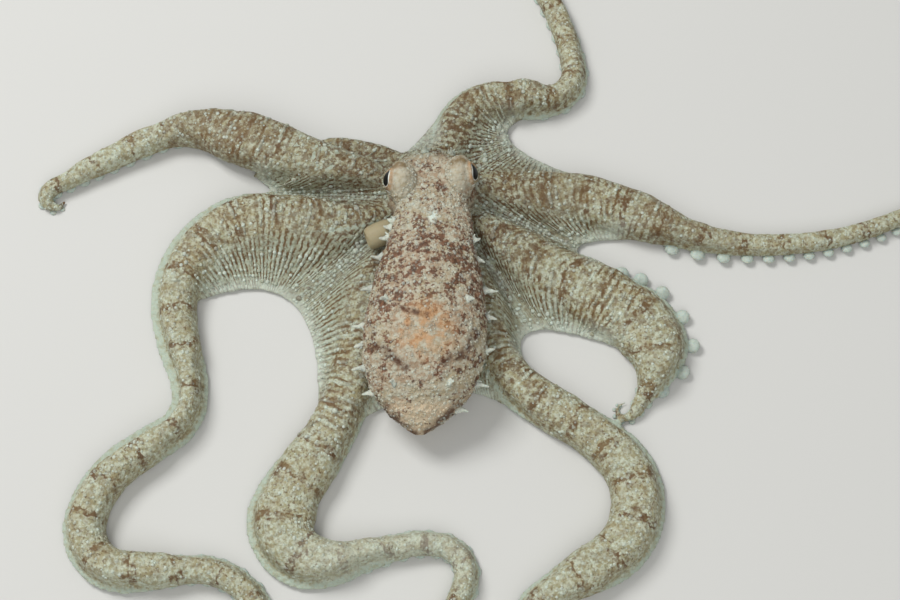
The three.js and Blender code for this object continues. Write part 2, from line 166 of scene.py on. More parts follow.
def brim_widths(arm, course):
    """Widths of the pale brim on the left and the right edge of an arm: it comes out on the
    outside of bends, and on some arms along a stretch between two lengths."""
    step = course.along[1] - course.along[0]
    reach = int(BRIM_EASE / step)
    padded = np.pad(course.bend, reach, mode="edge")
    ease = np.hanning(2 * reach + 1)
    bend = np.convolve(padded, ease / ease.sum(), mode="valid") / BRIM_BEND
    widest = np.minimum(BRIM_WIDTH, BRIM_SHARE * course.width)
    brims = [widest * np.clip(side * -bend, BRIM_LEAST, 1) for side in (1, -1)]
    if "brim" in arm:
        start, end, side, width = arm["brim"]
        stretch = (smooth_step(course.along, start, start + BRIM_EASE)
                   * (1 - smooth_step(course.along, end - BRIM_EASE, end)))
        broad = np.minimum(width, BROAD_BRIM_SHARE * course.width) * stretch
        index = 0 if side > 0 else 1
        brims[index] = np.maximum(brims[index], broad)
    return brims


def weave(mesh, rows, ring=False):
    """Lays a sheet of faces with its crossings at rows of points. A ring sheet is rolled into
    a tube: its long edges are joined, and its two ends are closed."""
    if ring:
        rows = np.concatenate([rows, rows[:, :1]], axis=1)
    sheet = bmesh.ops.create_grid(mesh, x_segments=rows.shape[1] - 1, y_segments=len(rows) - 1)
    for vert, point in zip(sheet["verts"], rows.reshape(-1, 3).tolist()):
        vert.co = point
    if ring:
        bmesh.ops.remove_doubles(mesh, verts=sheet["verts"], dist=1e-5)
        verts = [vert for vert in sheet["verts"] if vert.is_valid]
        rims = [edge for vert in verts for edge in vert.link_edges if edge.is_boundary]
        bmesh.ops.holes_fill(mesh, edges=list(set(rims)), sides=0)


def arm_rings(arm):
    """The sections of an arm at even steps, each a ring of points round back and sole."""
    course = walk(arm, ARM_STEP)
    half = np.maximum(course.width / 2 - COAT, THINNEST_HALF)
    sole = np.minimum(SOLE_LIMIT, SOLE_SHARE * course.width)
    back = np.maximum(arm_height(arm, course) - COAT, sole + BACK_LEAST)
    brim = np.minimum(BRIM_DEPTH, BRIM_DEPTH_SHARE * (back - sole))
    left_brim, right_brim = brim_widths(arm, course)
    across, over = [], []
    for i in range(ARM_SIDES + 1):
        angle = math.pi * i / ARM_SIDES
        reach = math.copysign(abs(math.cos(angle)) ** (2 / BACK_ROUNDNESS), math.cos(angle))
        across.append(reach * (half - (left_brim if reach > 0 else right_brim)))
        over.append(sole + brim + (back - sole - brim) * math.sin(angle) ** (2 / BACK_ROUNDNESS))
    # then the right brim, the sole and the left brim
    across += [-half, -half * 0.96, -half * 0.45, half * 0.45, half * 0.96, half]
    over += [sole + brim * 0.7, sole, sole + SOLE_HOLLOW, sole + SOLE_HOLLOW, sole, sole + brim * 0.7]
    across, over = np.array(across).T, np.array(over).T
    rows = np.empty(across.shape + (3,))
    rows[..., 0] = course.x[:, None] - np.sin(course.heading)[:, None] * across
    rows[..., 1] = course.y[:, None] + np.cos(course.heading)[:, None] * across
    rows[..., 2] = over + arm_lift(arm, course)[:, None]
    return rows


flesh = bmesh.new()
for arm in ARMS.values():
    weave(flesh, arm_rings(arm), ring=True)

# ---------------------------------------------------------------- the web
# A thin skin fills the corner between each two arms. It is slung from the sides of both arms to
# a free edge that is drawn in towards the mouth. Its fibres fan out from that edge, and they run
# on across the arms, so the same lines later carry the folds of the skin.
CROWN = Vector((0.3, 0.8, 0))           # the mouth, where the arms meet
WEB_TOP = 4.6                           # height of the web round the mouth,
WEB_EDGE = 1.5                          # and at its free edge
WEB_SLOPE = (10, 34)                    # distance from the mouth over which it falls
WEB_SOLE = 0.3
WEB_APRON = 11                          # how far beyond the arm its slope runs into the web
WEB_HOLD = 0.9                          # share of the arm's half width where the free edge ends
WEB_LEAST = 0.4                         # a line crosses the web if it goes this many widths out
LINE_LEAN = 0.55                        # widths over which a line leaves its arm at a right angle
COURSE_STEP = 0.25                      # fine enough to read places and widths from
LINE_PITCH = 1.6                        # distance of the fibre lines along the arm
LINE_PARTS = 32                         # parts of a line from the middle of the arm to its end
LINE_CROWD = 1.6                        # crowds the lines towards the deepest point of the edge

# arms in turn round the mouth, how far the web runs along both, and the deepest point of its
# free edge
WEBS = [
    dict(arms=("arm_left_1", "arm_left_2"), reach=(14, 20), deepest=(-23.5, 12.8), top=2.6),
    dict(arms=("arm_left_2", "arm_left_3"), reach=(30, 30), deepest=(-35.2, 2.8)),
    dict(arms=("arm_left_3", "arm_left_4"), reach=(58, 44), deepest=(-30.4, -23.2)),
    dict(arms=("arm_left_4", "arm_right_4"), reach=(42, 38), deepest=(3.0, -43.6), top=2.2),
    dict(arms=("arm_right_4", "arm_right_3"), reach=(36, 46), deepest=(22.8, -29.8)),
    dict(arms=("arm_right_3", "arm_right_2"), reach=(32, 38), deepest=(33.0, -10.1)),
    dict(arms=("arm_right_2", "arm_right_1"), reach=(24, 28), deepest=(18.9, 14.3)),
    dict(arms=("arm_right_1", "arm_left_1"), reach=(9, 6), deepest=(-5.0, 13.4), top=2.6),
]


def place_on(course, along):
    """Points of the floor plan at lengths along a course."""
    return np.stack([np.interp(along, course.along, course.x),
                     np.interp(along, course.along, course.y)], axis=-1)


def edge_of_web(web, part):
    """A point of the free edge, from the first arm (0) to the second (1)."""
    ends = []
    for name, reach, side in zip(web["arms"], web["reach"], (1, -1)):
        course = COURSES[name]
        heading, width = (np.interp(reach, course.along, row) for row in (course.heading, course.width))
        outward = side * WEB_HOLD * width / 2 * np.array([-math.sin(heading), math.cos(heading)])
        ends.append(place_on(course, reach) + outward)
    first, second = ends
    pull = 2 * np.array(web["deepest"]) - (first + second) / 2
    part = np.asarray(part)[:, None]
    return (1 - part) ** 2 * first + 2 * part * (1 - part) * pull + part ** 2 * second


def course_from_mouth(arm):
    """An arm's course, run back to the mouth at the even pitch of the fibre lines."""
    course = walk(arm, COURSE_STEP)
    start = np.array(arm["start"])
    inner = np.linalg.norm(start - CROWN.xy)
    along = np.arange(-inner + 0.5, course.along[-1] - 0.5, LINE_PITCH)
    inward = (start - CROWN.xy) / inner
    place = np.where(along[:, None] < 0, start + inward * along[:, None], place_on(course, along))
    heading = np.interp(along, course.along, course.heading)
    heading = np.where(along < 0, math.atan2(inward[1], inward[0]), heading)
    width = np.interp(along, course.along, course.width)
    return Walk(along, place[:, 0], place[:, 1], heading, width, np.zeros_like(along))


COURSES = {name: walk(arm, COURSE_STEP) for name, arm in ARMS.items()}
LINE_COURSES = {name: course_from_mouth(arm) for name, arm in ARMS.items()}


def half_lines(name, side):
    """Fibre lines from the middle of an arm out to one side (1 is left), each in even parts,
    with a flag for those that cross the web."""
    course = LINE_COURSES[name]
    middle = np.stack([course.x, course.y], axis=-1)
    outward = side * np.stack([-np.sin(course.heading), np.cos(course.heading)], axis=-1)
    end = middle + outward * (course.width / 2)[:, None]
    web = next(w for w in WEBS if w["arms"][0 if side > 0 else 1] == name)
    reach = web["reach"][0 if side > 0 else 1]
    inner = -course.along[0]
    share = 0.5 * (1 - np.clip((course.along + inner) / (reach + inner), 0, 1) ** LINE_CROWD)
    edge = edge_of_web(web, np.clip(share if side > 0 else 1 - share, 0, 1))
    beyond = np.einsum("ij,ij->i", edge - middle, outward)
    in_web = (course.along < reach) & (beyond > course.width * WEB_LEAST)
    end = np.where(in_web[:, None], edge, end)
    stretch = np.linalg.norm(end - middle, axis=1)
    lean = middle + outward * np.minimum(course.width * LINE_LEAN, stretch * 0.5)[:, None]
    run = np.linspace(0, 1, LINE_PARTS + 1)[None, :, None]
    points = ((1 - run) ** 2 * middle[:, None] + 2 * run * (1 - run) * lean[:, None]
              + run ** 2 * end[:, None])
    return points, in_web


def slung_height(name, lines, top):
    """Height of the web along its lines: it falls from the back of the arm to the free edge."""
    arm = ARMS[name]
    course = LINE_COURSES[name]
    crest = (arm_height(arm, course) + arm_lift(arm, course) - COAT)[:, None]
    from_mouth = np.linalg.norm(lines, axis=-1)
    plate = WEB_EDGE + (top - WEB_EDGE) * (1 - smooth_step(from_mouth, *WEB_SLOPE)) - COAT
    out = np.linalg.norm(lines - lines[:, :1], axis=-1)
    foot = np.minimum(out[:, -1:], course.width[:, None] / 2 + WEB_APRON)
    slope = 1 - smooth_step(out / np.maximum(foot, 1), 0.1, 1)
    edge = WEB_EDGE - COAT
    return np.maximum(plate, edge + (crest - edge) * slope)


for web in WEBS:
    for name, side in zip(web["arms"], (1, -1)):
        lines, in_web = half_lines(name, side)
        height = slung_height(name, lines, web.get("top", WEB_TOP))
        above = np.dstack([lines, height])[in_web][:, ::2]
        below = above * (1, 1, 0) + (0, 0, WEB_SOLE)
        weave(flesh, np.concatenate([above, below[:, ::-1]], axis=1), ring=True)

# ---------------------------------------------------------------- the head
# A low dome over the crown of the arms. On it stand the two eye domes, with a saddle between
# them. It runs into the mantle behind without a waist.
HEAD = Vector((0.5, 1.4, 8.6))
HEAD_RADII = (9.0, 8.9, 5.6)
EYE_RADIUS = 2.95
EYES = {
    "left": dict(ball=Vector((-7.2, 0.6, 13.0)), dome=Vector((-6.0, 0.9, 12.1)), gaze=(-1, 0.16, 0.62)),
    "right": dict(ball=Vector((7.7, 2.1, 13.0)), dome=Vector((6.5, 2.2, 12.1)), gaze=(1, 0.16, 0.62)),
}
EYE_DOME_RADII = (3.5, 5.0, 4.7)
COLLAR = Vector((0.3, 0.8, 2.2))        # the flesh round the mouth that the arms grow from
COLLAR_RADII = (12.6, 12.8, 6.0)


def swell(mesh, centre, radii):
    """Adds a ball of flesh, drawn out to three radii."""
    place = Matrix.Translation(centre) @ Matrix.Diagonal((*radii, 1))
    bmesh.ops.create_uvsphere(mesh, u_segments=40, v_segments=24, radius=1, matrix=place)


swell(flesh, HEAD, HEAD_RADII)
swell(flesh, COLLAR, COLLAR_RADII)
# what reaches below the sole is pressed flat
for vert in flesh.verts:
    vert.co.z = max(vert.co.z, WEB_SOLE)
for eye in EYES.values():
    swell(flesh, eye["dome"], EYE_DOME_RADII)

# ---------------------------------------------------------------- the mantle
# The sac behind the head, flattened, widest past its middle and closed by a three-cornered
# rear end. It rides on the roots of the rear arms and leans a little to the left.
NECK_Y = -7.55
MANTLE_LENGTH = 48
MANTLE_LEAN = -2.4                      # sideways drift of the rear point
MANTLE_RINGS = 40
MANTLE_SIDES = 36
MANTLE_CROWDING = 1.35                  # crowds the rings towards the rear point
MANTLE_START = -0.17                    # the sac starts inside the head, at this share of its length
MANTLE_SPAN = 1.165                     # and runs on over this share of it
# share of the length from the neck, half width, height of the axis, rise above, depth below
MANTLE = np.array([
    (MANTLE_START, 6.6, 10.0, 5.0, 4.2),
    (0.00, 9.2, 11.2, 5.0, 4.2),
    (0.12, 9.9, 11.7, 6.4, 4.5),
    (0.30, 12.0, 12.1, 7.5, 5.3),
    (0.50, 13.5, 12.0, 8.2, 7.8),
    (0.68, 13.4, 11.4, 7.6, 8.0),
    (0.82, 11.0, 10.0, 5.8, 6.4),
    (0.92, 6.6, 8.6, 3.6, 4.2),
    (1.00, 1.0, 7.2, 0.7, 0.9),
])


def mantle_at(share):
    """Half width, axis height, rise and depth of the mantle at shares of its length."""
    return [np.interp(share, MANTLE[:, 0], MANTLE[:, i]) for i in range(1, 5)]


def mantle_surface(share, turn, grow=0.0):
    """Points of the sac at shares of its length and turns round it, from the right flank up."""
    half, axis, up, down = mantle_at(share)
    rise = np.sin(turn)
    depth = np.where(rise > 0, up, down)
    return np.stack(np.broadcast_arrays(
        HEAD.x + MANTLE_LEAN * share + (half + grow) * np.cos(turn),
        NECK_Y - MANTLE_LENGTH * share,
        axis + (depth + grow) * rise,
    ), axis=-1)


rings = np.linspace(0, 1, MANTLE_RINGS)
shares = MANTLE_START + MANTLE_SPAN * (1 - (1 - rings) ** MANTLE_CROWDING)
turns = np.linspace(0, 2 * math.pi, MANTLE_SIDES, endpoint=False)
weave(flesh, mantle_surface(shares[:, None], turns[None, :], -COAT), ring=True)

# ---------------------------------------------------------------- the skin
# One soft skin over arms, web, head and mantle, with no seam. The parts above are fused, the
# corners between them are eased, and sockets are sunk where the eyes look out.
FUSE_PITCH = 0.55
SKIN_EASE = 4                           # times that the whole skin is eased,
ROOT_EASE = 12                          # and that it is eased again round the mouth
ROOT_REACH = 21
ROOT_LOWEST = 1.5                       # the soles below this height are left as they are
LUMP = 0.14
LUMP_SIZE = 2.6
BODY_LUMP = 0.2                         # the head and the mantle are rougher
BODY_LUMP_SIZE = 1.3
SOLE_TURN = -0.6                        # faces that look down more than this are the underside
SOLE_KEPT = 0.12                        # share of the underside's faces that is kept
EYE_OPENING = (math.radians(44), math.radians(31))  # half angles that the lids leave open
SOCKET_DEPTH = 0.35                     # the skin in a socket lies this far under the ball's surface

# dark strokes on the back of the mantle, round its rear cap and over the eyes, as places in mm
STROKES = [
    dict(points=[(-6.0, -30.8), (-3.0, -31.9), (-0.3, -32.5)], width=0.7),
    dict(points=[(-10.9, -38.3), (-8.2, -40.4), (-4.9, -43.1)], width=1.0),
    dict(points=[(3.4, -42.0), (7.4, -40.2), (10.0, -35.3)], width=1.0),
    dict(points=[(-9.2, -49.9), (-6.4, -53.2), (-3.0, -55.0)], width=0.9),
    dict(points=[(6.6, -49.7), (3.4, -52.2), (-0.6, -55.0)], width=0.9),
    dict(points=[(-7.8, 3.4), (-6.8, 4.0), (-5.6, 3.4)], width=1.0),
    dict(points=[(5.2, 4.0), (6.5, 5.2), (7.6, 4.4)], width=1.0),
]


def shaped(piece, kind, **settings):
    """Applies one modifier to the mesh of an object."""
    modifier = piece.modifiers.new(kind.title(), kind)
    for key, value in settings.items():
        setattr(modifier, key, value)
    bpy.context.view_layer.update()
    ready = piece.evaluated_get(bpy.context.evaluated_depsgraph_get())
    piece.data = bpy.data.meshes.new_from_object(ready)
    piece.data.name = piece.name
    piece.modifiers.clear()
    return piece


def finished(mesh, name):
    """Makes an object of a bmesh."""
    data = bpy.data.meshes.new(name)
    mesh.to_mesh(data)
    piece = bpy.data.objects.new(name, data)
    bpy.context.scene.collection.objects.link(piece)
    return piece


def ease(mesh, verts, times):
    """Smooths out the corners between the parts."""
    for _ in range(times):
        bmesh.ops.smooth_vert(mesh, verts=verts, factor=0.5, use_axis_x=True, use_axis_y=True,
                              use_axis_z=True)


def places(data):
    """The vertices of a mesh as rows of numbers."""
    rows = np.empty(len(data.vertices) * 3, np.float32)
    data.vertices.foreach_get("co", rows)
    return rows.reshape(-1, 3).astype(float)


def eye_frame(eye):
    """Forward, upward and outward directions of an eye."""
    out = Vector(eye["gaze"]).normalized()
    fore = (Vector((0, 1, 0)) - out * out.y).normalized()
    up = fore.cross(out)
    return np.array([fore, up if up.z > 0 else -up, out])


def eye_measure(eye, points):
    """Distance from the middle of the ball, and how far out from the gaze: 1 at the lids."""
    away = points - np.array(eye["ball"])
    distance = np.linalg.norm(away, axis=-1)
    fore, up, out = np.moveaxis((away / distance[..., None]) @ eye_frame(eye).T, -1, 0)
    angle = np.arccos(np.clip(out, -1, 1))
    turn = np.arctan2(up, fore)
    lids = 1 / np.hypot(np.cos(turn) / EYE_OPENING[0], np.sin(turn) / EYE_OPENING[1])
    return distance, angle / lids


def ellipse_measure(points, centre, radii):
    """How far out points lie from the middle of a ball of flesh: 1 on its surface."""
    return np.sqrt((((points - np.array(centre)) / np.array(radii)) ** 2).sum(axis=-1))


def body_share(points):
    """1 on the head and the mantle, 0 on the arms and the web."""
    share = (NECK_Y - points[:, 1]) / MANTLE_LENGTH
    half, axis, up, down = mantle_at(share)
    side = (points[:, 0] - HEAD.x - MANTLE_LEAN * share) / half
    rise = points[:, 2] - axis
    sac = np.hypot(side, rise / np.where(rise > 0, up, down))
    sac[(share < MANTLE_START) | (share > 1.03)] = np.inf
    skull = ellipse_measure(points, HEAD, HEAD_RADII)
    domes = [ellipse_measure(points, eye["dome"], EYE_DOME_RADII) for eye in EYES.values()]
    return 1 - smooth_step(np.minimum.reduce([sac, skull, *domes]), 1.02, 1.22)


def stroke_share(points):
    """How dark the strokes on the mantle make each point, from 0 to 1."""
    dark = np.zeros(len(points))
    for stroke in STROKES:
        bends = np.array(stroke["points"])
        for start, end in zip(bends[:-1], bends[1:]):
            course = end - start
            part = np.clip(((points[:, :2] - start) @ course) / (course @ course), 0, 1)
            gap = np.linalg.norm(points[:, :2] - start - part[:, None] * course, axis=1)
            dark = np.maximum(dark, 1 - smooth_step(gap, stroke["width"] * 0.3, stroke["width"] * 1.4))
    return dark


BRIM_STARTS = 0.8                       # share across an arm where its brim starts
WEB_STARTS = (0.75, 1.35)               # shares across an arm over which it turns into web
WEB_MARGIN = (0.6, 3.6)                 # the free edge of the web is pale over this distance
MARGIN_PALE = 0.45
# pale spots on the neck and beside it, before the head and on an outer arm: place, half width,
# half length, how pale
PALE_SPOTS = [(0.7, -8.3, 1.2, 2.5, 0.9), (-9.0, -8.4, 1.5, 2.0, 0.7), (-9.3, -12.4, 1.3, 1.6, 0.6),
              (0.6, 16.0, 2.4, 4.5, 0.4), (-7.6, -80.5, 22, 9, 0.2)]
# stretches of arm that are browner than the rest: place, radius, how brown
BROWN_STRETCHES = [(-44, 18, 18, 0.55), (26, 1.5, 14, 0.3), (56, -3.5, 17, 0.35), (-13, 8, 9, 0.4)]
SPOT_LOWEST = 1.5                       # the pale spots are only on skin above this height
HEAD_FRONT = (5.0, 9.0)                 # over this stretch the head takes the pattern of the arms
DOME_RAISED = 1.5                       # the pattern of an eye dome is centred this far up it
LID_REACH = 6                           # mm from the middle of a ball, beyond which is no lid

# how the skin lies: the fibre lines with the distance from the middle of their arm, the half
# width and the brim there, the way and the distance to the next line, and the length along the arm
Lay = namedtuple("Lay", "lines offset half brim across_line spacing along web margin")


def die_out(flags):
    """1 on most of the lines that cross the web, less on the last few of them."""
    shares = np.convolve(np.pad(flags.astype(float), 4, mode="edge"), np.full(9, 1 / 9), mode="valid")
    return flags * np.maximum(0, 2 * shares - 1)


def lay_of(name):
    """The fibre lines of an arm from its right edge over the middle to its left edge."""
    (left, left_web), (right, right_web) = half_lines(name, 1), half_lines(name, -1)
    lines = np.concatenate([right[:, :0:-1], left], axis=1)
    steps = np.linalg.norm(np.diff(lines, axis=1), axis=2)
    offset = np.concatenate([np.zeros((len(lines), 1)), np.cumsum(steps, axis=1)], axis=1)
    offset -= offset[:, LINE_PARTS, None]
    tangent = np.gradient(lines, axis=1)
    tangent /= np.maximum(np.linalg.norm(tangent, axis=2, keepdims=True), 1e-6)
    to_next = np.gradient(lines, axis=0)
    to_next -= (to_next * tangent).sum(axis=2, keepdims=True) * tangent
    spacing = np.maximum(np.linalg.norm(to_next, axis=2), 0.12)
    course = LINE_COURSES[name]
    half = np.broadcast_to(course.width[:, None] / 2, offset.shape)
    crossed = np.where(offset > 0, left_web[:, None], right_web[:, None])
    web = crossed * smooth_step(np.abs(offset) / half, *WEB_STARTS)
    to_edge = np.where(offset > 0, offset[:, -1:] - offset, offset - offset[:, :1])
    margin = np.where(offset > 0, die_out(left_web)[:, None], die_out(right_web)[:, None])
    margin = margin * (1 - smooth_step(to_edge, *WEB_MARGIN))
    along = np.broadcast_to(course.along[:, None], offset.shape)
    fine = COURSES[name]
    brims = [np.interp(course.along, fine.along, row)[:, None] for row in brim_widths(ARMS[name], fine)]
    brim = np.where(offset > 0, *brims)
    return Lay(lines, offset, half, brim, to_next / spacing[..., None], spacing, along, web, margin)


LAYS = {name: lay_of(name) for name in ARMS}
every = Lay(*[np.concatenate([getattr(lay, field).reshape(-1, *getattr(lay, field).shape[2:])
                              for lay in LAYS.values()]) for field in Lay._fields])
counts = np.concatenate([np.repeat(np.arange(len(lay.lines)), lay.lines.shape[1])
                         for lay in LAYS.values()])
line_tree = KDTree(len(every.lines))
for index, (x, y) in enumerate(every.lines.tolist()):
    line_tree.insert((x, y, 0), index)
line_tree.balance()


def read_lay(points):
    """Distance along the arm, share of its half width and count of fibre lines at each point,
    how much of it is web and how much is the margin of the web."""
    nearest = np.array([line_tree.find((x, y, 0))[1] for x, y, _ in points.tolist()])
    away = points[:, :2] - every.lines[nearest]
    along_line = np.stack([every.across_line[nearest, 1], -every.across_line[nearest, 0]], axis=1)
    forward = (away * every.across_line[nearest]).sum(axis=1)
    count = counts[nearest] + np.clip(forward / every.spacing[nearest], -0.8, 0.8)
    sideways = np.abs((away * along_line).sum(axis=1))
    offset = every.offset[nearest]
    # beyond the last point of a line the side distance is added
    half, brim = every.half[nearest], every.brim[nearest]
    out = np.abs(offset) + sideways * (np.abs(offset) > half * 0.9)
    back = half - brim
    beyond = BRIM_STARTS + (1 - BRIM_STARTS) * (out - back) / brim
    share = np.where(out < back, BRIM_STARTS * out / back, beyond)
    lay = np.stack([every.along[nearest], np.sign(offset) * share, count], axis=1)
    return lay, every.web[nearest], every.margin[nearest]


def give(data, name, values):
    """Stores rows of three numbers on the vertices of a mesh."""
    attribute = data.attributes.new(name, "FLOAT_VECTOR", "POINT")
    attribute.data.foreach_set("vector", np.ascontiguousarray(values, np.float32).ravel())


def marks_at(points, pale=0.0):
    """What the colour of each point depends on: where it lies on its arm, whether it is body,
    web or stroke, how near it is to an eye, and how pale it is."""
    lay, web, margin = read_lay(points)
    body = body_share(points) * (1 - smooth_step(points[:, 1], *HEAD_FRONT))
    domes, lids = np.zeros(len(points)), np.zeros(len(points))
    pale = np.maximum(float(pale), MARGIN_PALE * margin * (1 - body))
    for x, y, wide, long, amount in PALE_SPOTS:
        spot = np.hypot((points[:, 0] - x) / wide, (points[:, 1] - y) / long)
        above = points[:, 2] > SPOT_LOWEST
        pale = np.maximum(pale, amount * (1 - smooth_step(spot, 0.5, 1.2)) * above)
    brown = np.zeros(len(points))
    for x, y, radius, amount in BROWN_STRETCHES:
        gap = np.hypot(points[:, 0] - x, points[:, 1] - y) / radius
        brown = np.maximum(brown, amount * (1 - smooth_step(gap, 0.4, 1)))
    for eye in EYES.values():
        dome = ellipse_measure(points, eye["dome"] + Vector((0, 0, DOME_RAISED)), EYE_DOME_RADII)
        domes = np.maximum(domes, 1 - smooth_step(dome, 0.75, 1.1))
        body = np.maximum(body, 1 - smooth_step(dome, 0.9, 1.1))
        distance, out = eye_measure(eye, points)
        lids = np.maximum(lids, (1 - smooth_step(out, 1.1, 1.75)) * (distance < LID_REACH))
    dark = np.maximum(stroke_share(points) * body, brown)
    return dict(lay=lay,
                place=np.stack([body, web * (1 - body), dark], axis=1),
                eye=np.stack([domes, lids, pale], axis=1))


def mark_skin(data, pale=0.0):
    """Stores on the vertices of a mesh what their colour depends on."""
    for name, values in marks_at(places(data), pale).items():
        give(data, name, values)


def map_places(data, flat):
    """Stores where each vertex lies on the unwrapped skin."""
    corners = np.empty(len(data.loops), np.int32)
    data.loops.foreach_get("vertex_index", corners)
    data.uv_layers.new(name="OFBake").data.foreach_set("uv", flat[corners].astype(np.float32).ravel())


fused = shaped(finished(flesh, "fused"), "REMESH", mode="VOXEL", voxel_size=FUSE_PITCH)
bare = bmesh.new()
bare.from_mesh(fused.data)
bpy.data.objects.remove(fused)
ease(bare, bare.verts, SKIN_EASE)
near_mouth = [vert for vert in bare.verts
              if (vert.co.xy - CROWN.xy).length < ROOT_REACH and vert.co.z > ROOT_LOWEST]
ease(bare, near_mouth, ROOT_EASE)
bare.normal_update()
rough = body_share(np.array([vert.co for vert in bare.verts]))
for vert, share in zip(bare.verts, rough.tolist()):
    if vert.co.z > SOLE_LIMIT:
        lump = LUMP * noise.noise(vert.co / LUMP_SIZE)
        lump += BODY_LUMP * share * noise.noise(vert.co / BODY_LUMP_SIZE)
        vert.co += vert.normal * lump
for eye in EYES.values():
    near = [vert for vert in bare.verts if (vert.co - eye["ball"]).length < 2 * EYE_RADIUS]
    distance, out = eye_measure(eye, np.array([vert.co for vert in near]))
    deepest = EYE_RADIUS - SOCKET_DEPTH + 2 * smooth_step(out, 1.2, 1.6)
    for vert, far, limit in zip(near, distance, deepest):
        vert.co = eye["ball"] + (vert.co - eye["ball"]) * min(1, limit / far)

# the flat underside keeps only a few faces
under = [vert.index for vert in bare.verts if vert.normal.z < SOLE_TURN]
skin = finished(bare, "skin")
group = skin.vertex_groups.new(name="underside")
group.add(under, 1.0, "REPLACE")
kept = 1 - (1 - SOLE_KEPT) * len(under) / len(skin.data.vertices)
shaped(skin, "DECIMATE", vertex_group=group.name, vertex_group_factor=1000, ratio=kept)
skin.vertex_groups.clear()
mark_skin(skin.data)
skin_tree = BVHTree.FromPolygons([tuple(v.co) for v in skin.data.vertices],
                                 [tuple(p.vertices) for p in skin.data.polygons])


class Dye:
    """A material under the brush: short calls for the nodes that mix its colour."""

    def __init__(self, name):
        self.material = bpy.data.materials.new(name)
        self.material.use_nodes = True
        self.tree = self.material.node_tree
        self.surface = self.tree.nodes["Principled BSDF"]
        self.coords = self.tree.nodes.new("ShaderNodeTexCoord").outputs["Object"]

    def node(self, kind, inputs, output=0, **settings):
        """Adds a node, sets or links its inputs, and gives one output."""
        node = self.tree.nodes.new("ShaderNode" + kind)
        for key, value in settings.items():
            setattr(node, key, value)
        for key, value in inputs.items():
            if isinstance(value, bpy.types.NodeSocket):
                self.tree.links.new(value, node.inputs[key])
            else:
                node.inputs[key].default_value = value
        return node.outputs[output]

    def sum(self, operation, first, second=0.0, third=0.0):
        return self.node("Math", {0: first, 1: second, 2: third}, operation=operation)

    def times(self, *shares):
        """Several shares multiplied together."""
        product = shares[0]
        for share in shares[1:]:
            product = self.sum("MULTIPLY", product, share)
        return product

    def fade(self, value, low, high, start=0.0, end=1.0):
        """Runs smoothly from start to end while value goes from low to high."""
        return self.node("MapRange", {"Value": value, "From Min": low, "From Max": high,
                                      "To Min": start, "To Max": end}, interpolation_type="SMOOTHSTEP")

    def cloud(self, size, detail=2.0, rough=0.5):
        """Soft noise with features of a size in mm."""
        return self.node("TexNoise", {"Vector": self.coords, "Scale": 1 / (size * MM), "Detail": detail,
                                      "Roughness": rough})

    def cells(self, size):
        """Round pits of a size in mm."""
        return self.node("TexVoronoi", {"Vector": self.coords, "Scale": 1 / (size * MM)}, output="Distance")

    def away(self, place):
        """Distance from a place given in mm."""
        place = tuple(part * MM for part in place)
        return self.node("VectorMath", {0: self.coords, 1: place}, output="Value", operation="DISTANCE")

    def lay(self, colour, over, share):
        """Lays one colour over another by a share."""
        colour = colour if isinstance(colour, bpy.types.NodeSocket) else tint(colour)
        over = over if isinstance(over, bpy.types.NodeSocket) else tint(over)
        return self.node("Mix", {"Factor": share, 6: colour, 7: over}, output=2, data_type="RGBA")

    def attribute(self, name):
        """The three numbers that the skin stores under a name."""
        return self.node("SeparateXYZ", {0: self.node("Attribute", {}, output="Vector",
                                                      attribute_name=name)}, output="X").node.outputs

    def finish(self, colour, rough, bumps, soft=0.0):
        """Puts the colour on the surface, with bumps (height, depth in mm) and soft flesh below."""
        self.tree.links.new(colour, self.surface.inputs["Base Color"])
        self.surface.inputs["Roughness"].default_value = rough
        self.surface.inputs["Specular IOR Level"].default_value = 0.2
        self.surface.inputs["Subsurface Weight"].default_value = soft
        self.surface.inputs["Subsurface Radius"].default_value = (1.0, 0.6, 0.4)
        self.surface.inputs["Subsurface Scale"].default_value = 1.2 * MM
        normal = None
        for height, depth in bumps:
            inputs = {"Height": height, "Strength": 1.0, "Distance": depth * MM}
            if normal:
                inputs["Normal"] = normal
            normal = self.node("Bump", inputs)
        self.tree.links.new(normal, self.surface.inputs["Normal"])
        return self.material


def tint(colour):
    """A colour given as 0 to 255 of red, green and blue, as a node takes it."""
    parts = [part / 255 for part in colour]
    return (*[part / 12.92 if part < 0.04 else ((part + 0.055) / 1.055) ** 2.4 for part in parts], 1)


# colours of skin and head, from sandy ground to dark markings; a painted shade, and painted light in the cap
# tan
SAND_SKIN = (159, 157, 127)
CREAM = (194, 202, 182)
SAGE = (158, 168, 150)
OCHRE = (152, 134, 92)
RUST = (100, 76, 48)
UMBER = (90, 62, 40)
BRIM_PALE = (176, 188, 172)
# painted shade: laid over the arms and the web towards the mouth, under the head
PAINTED_SHADE = (84, 79, 56)
BLUSH = (160, 140, 116)
IVORY = (184, 180, 160)
LIVER = (78, 48, 32)
RUSSET = (114, 75, 53)
DUN = (168, 158, 130)
APRICOT = (194, 148, 102)
AMBER = (176, 122, 64)
PEARL = (184, 180, 162)
# the cap's own tan, lightened with painted light where the cap curves down away from the lamps
CAP_TAN_AND_PAINTED_LIGHT = (206, 186, 156)
WART = (212, 224, 213)


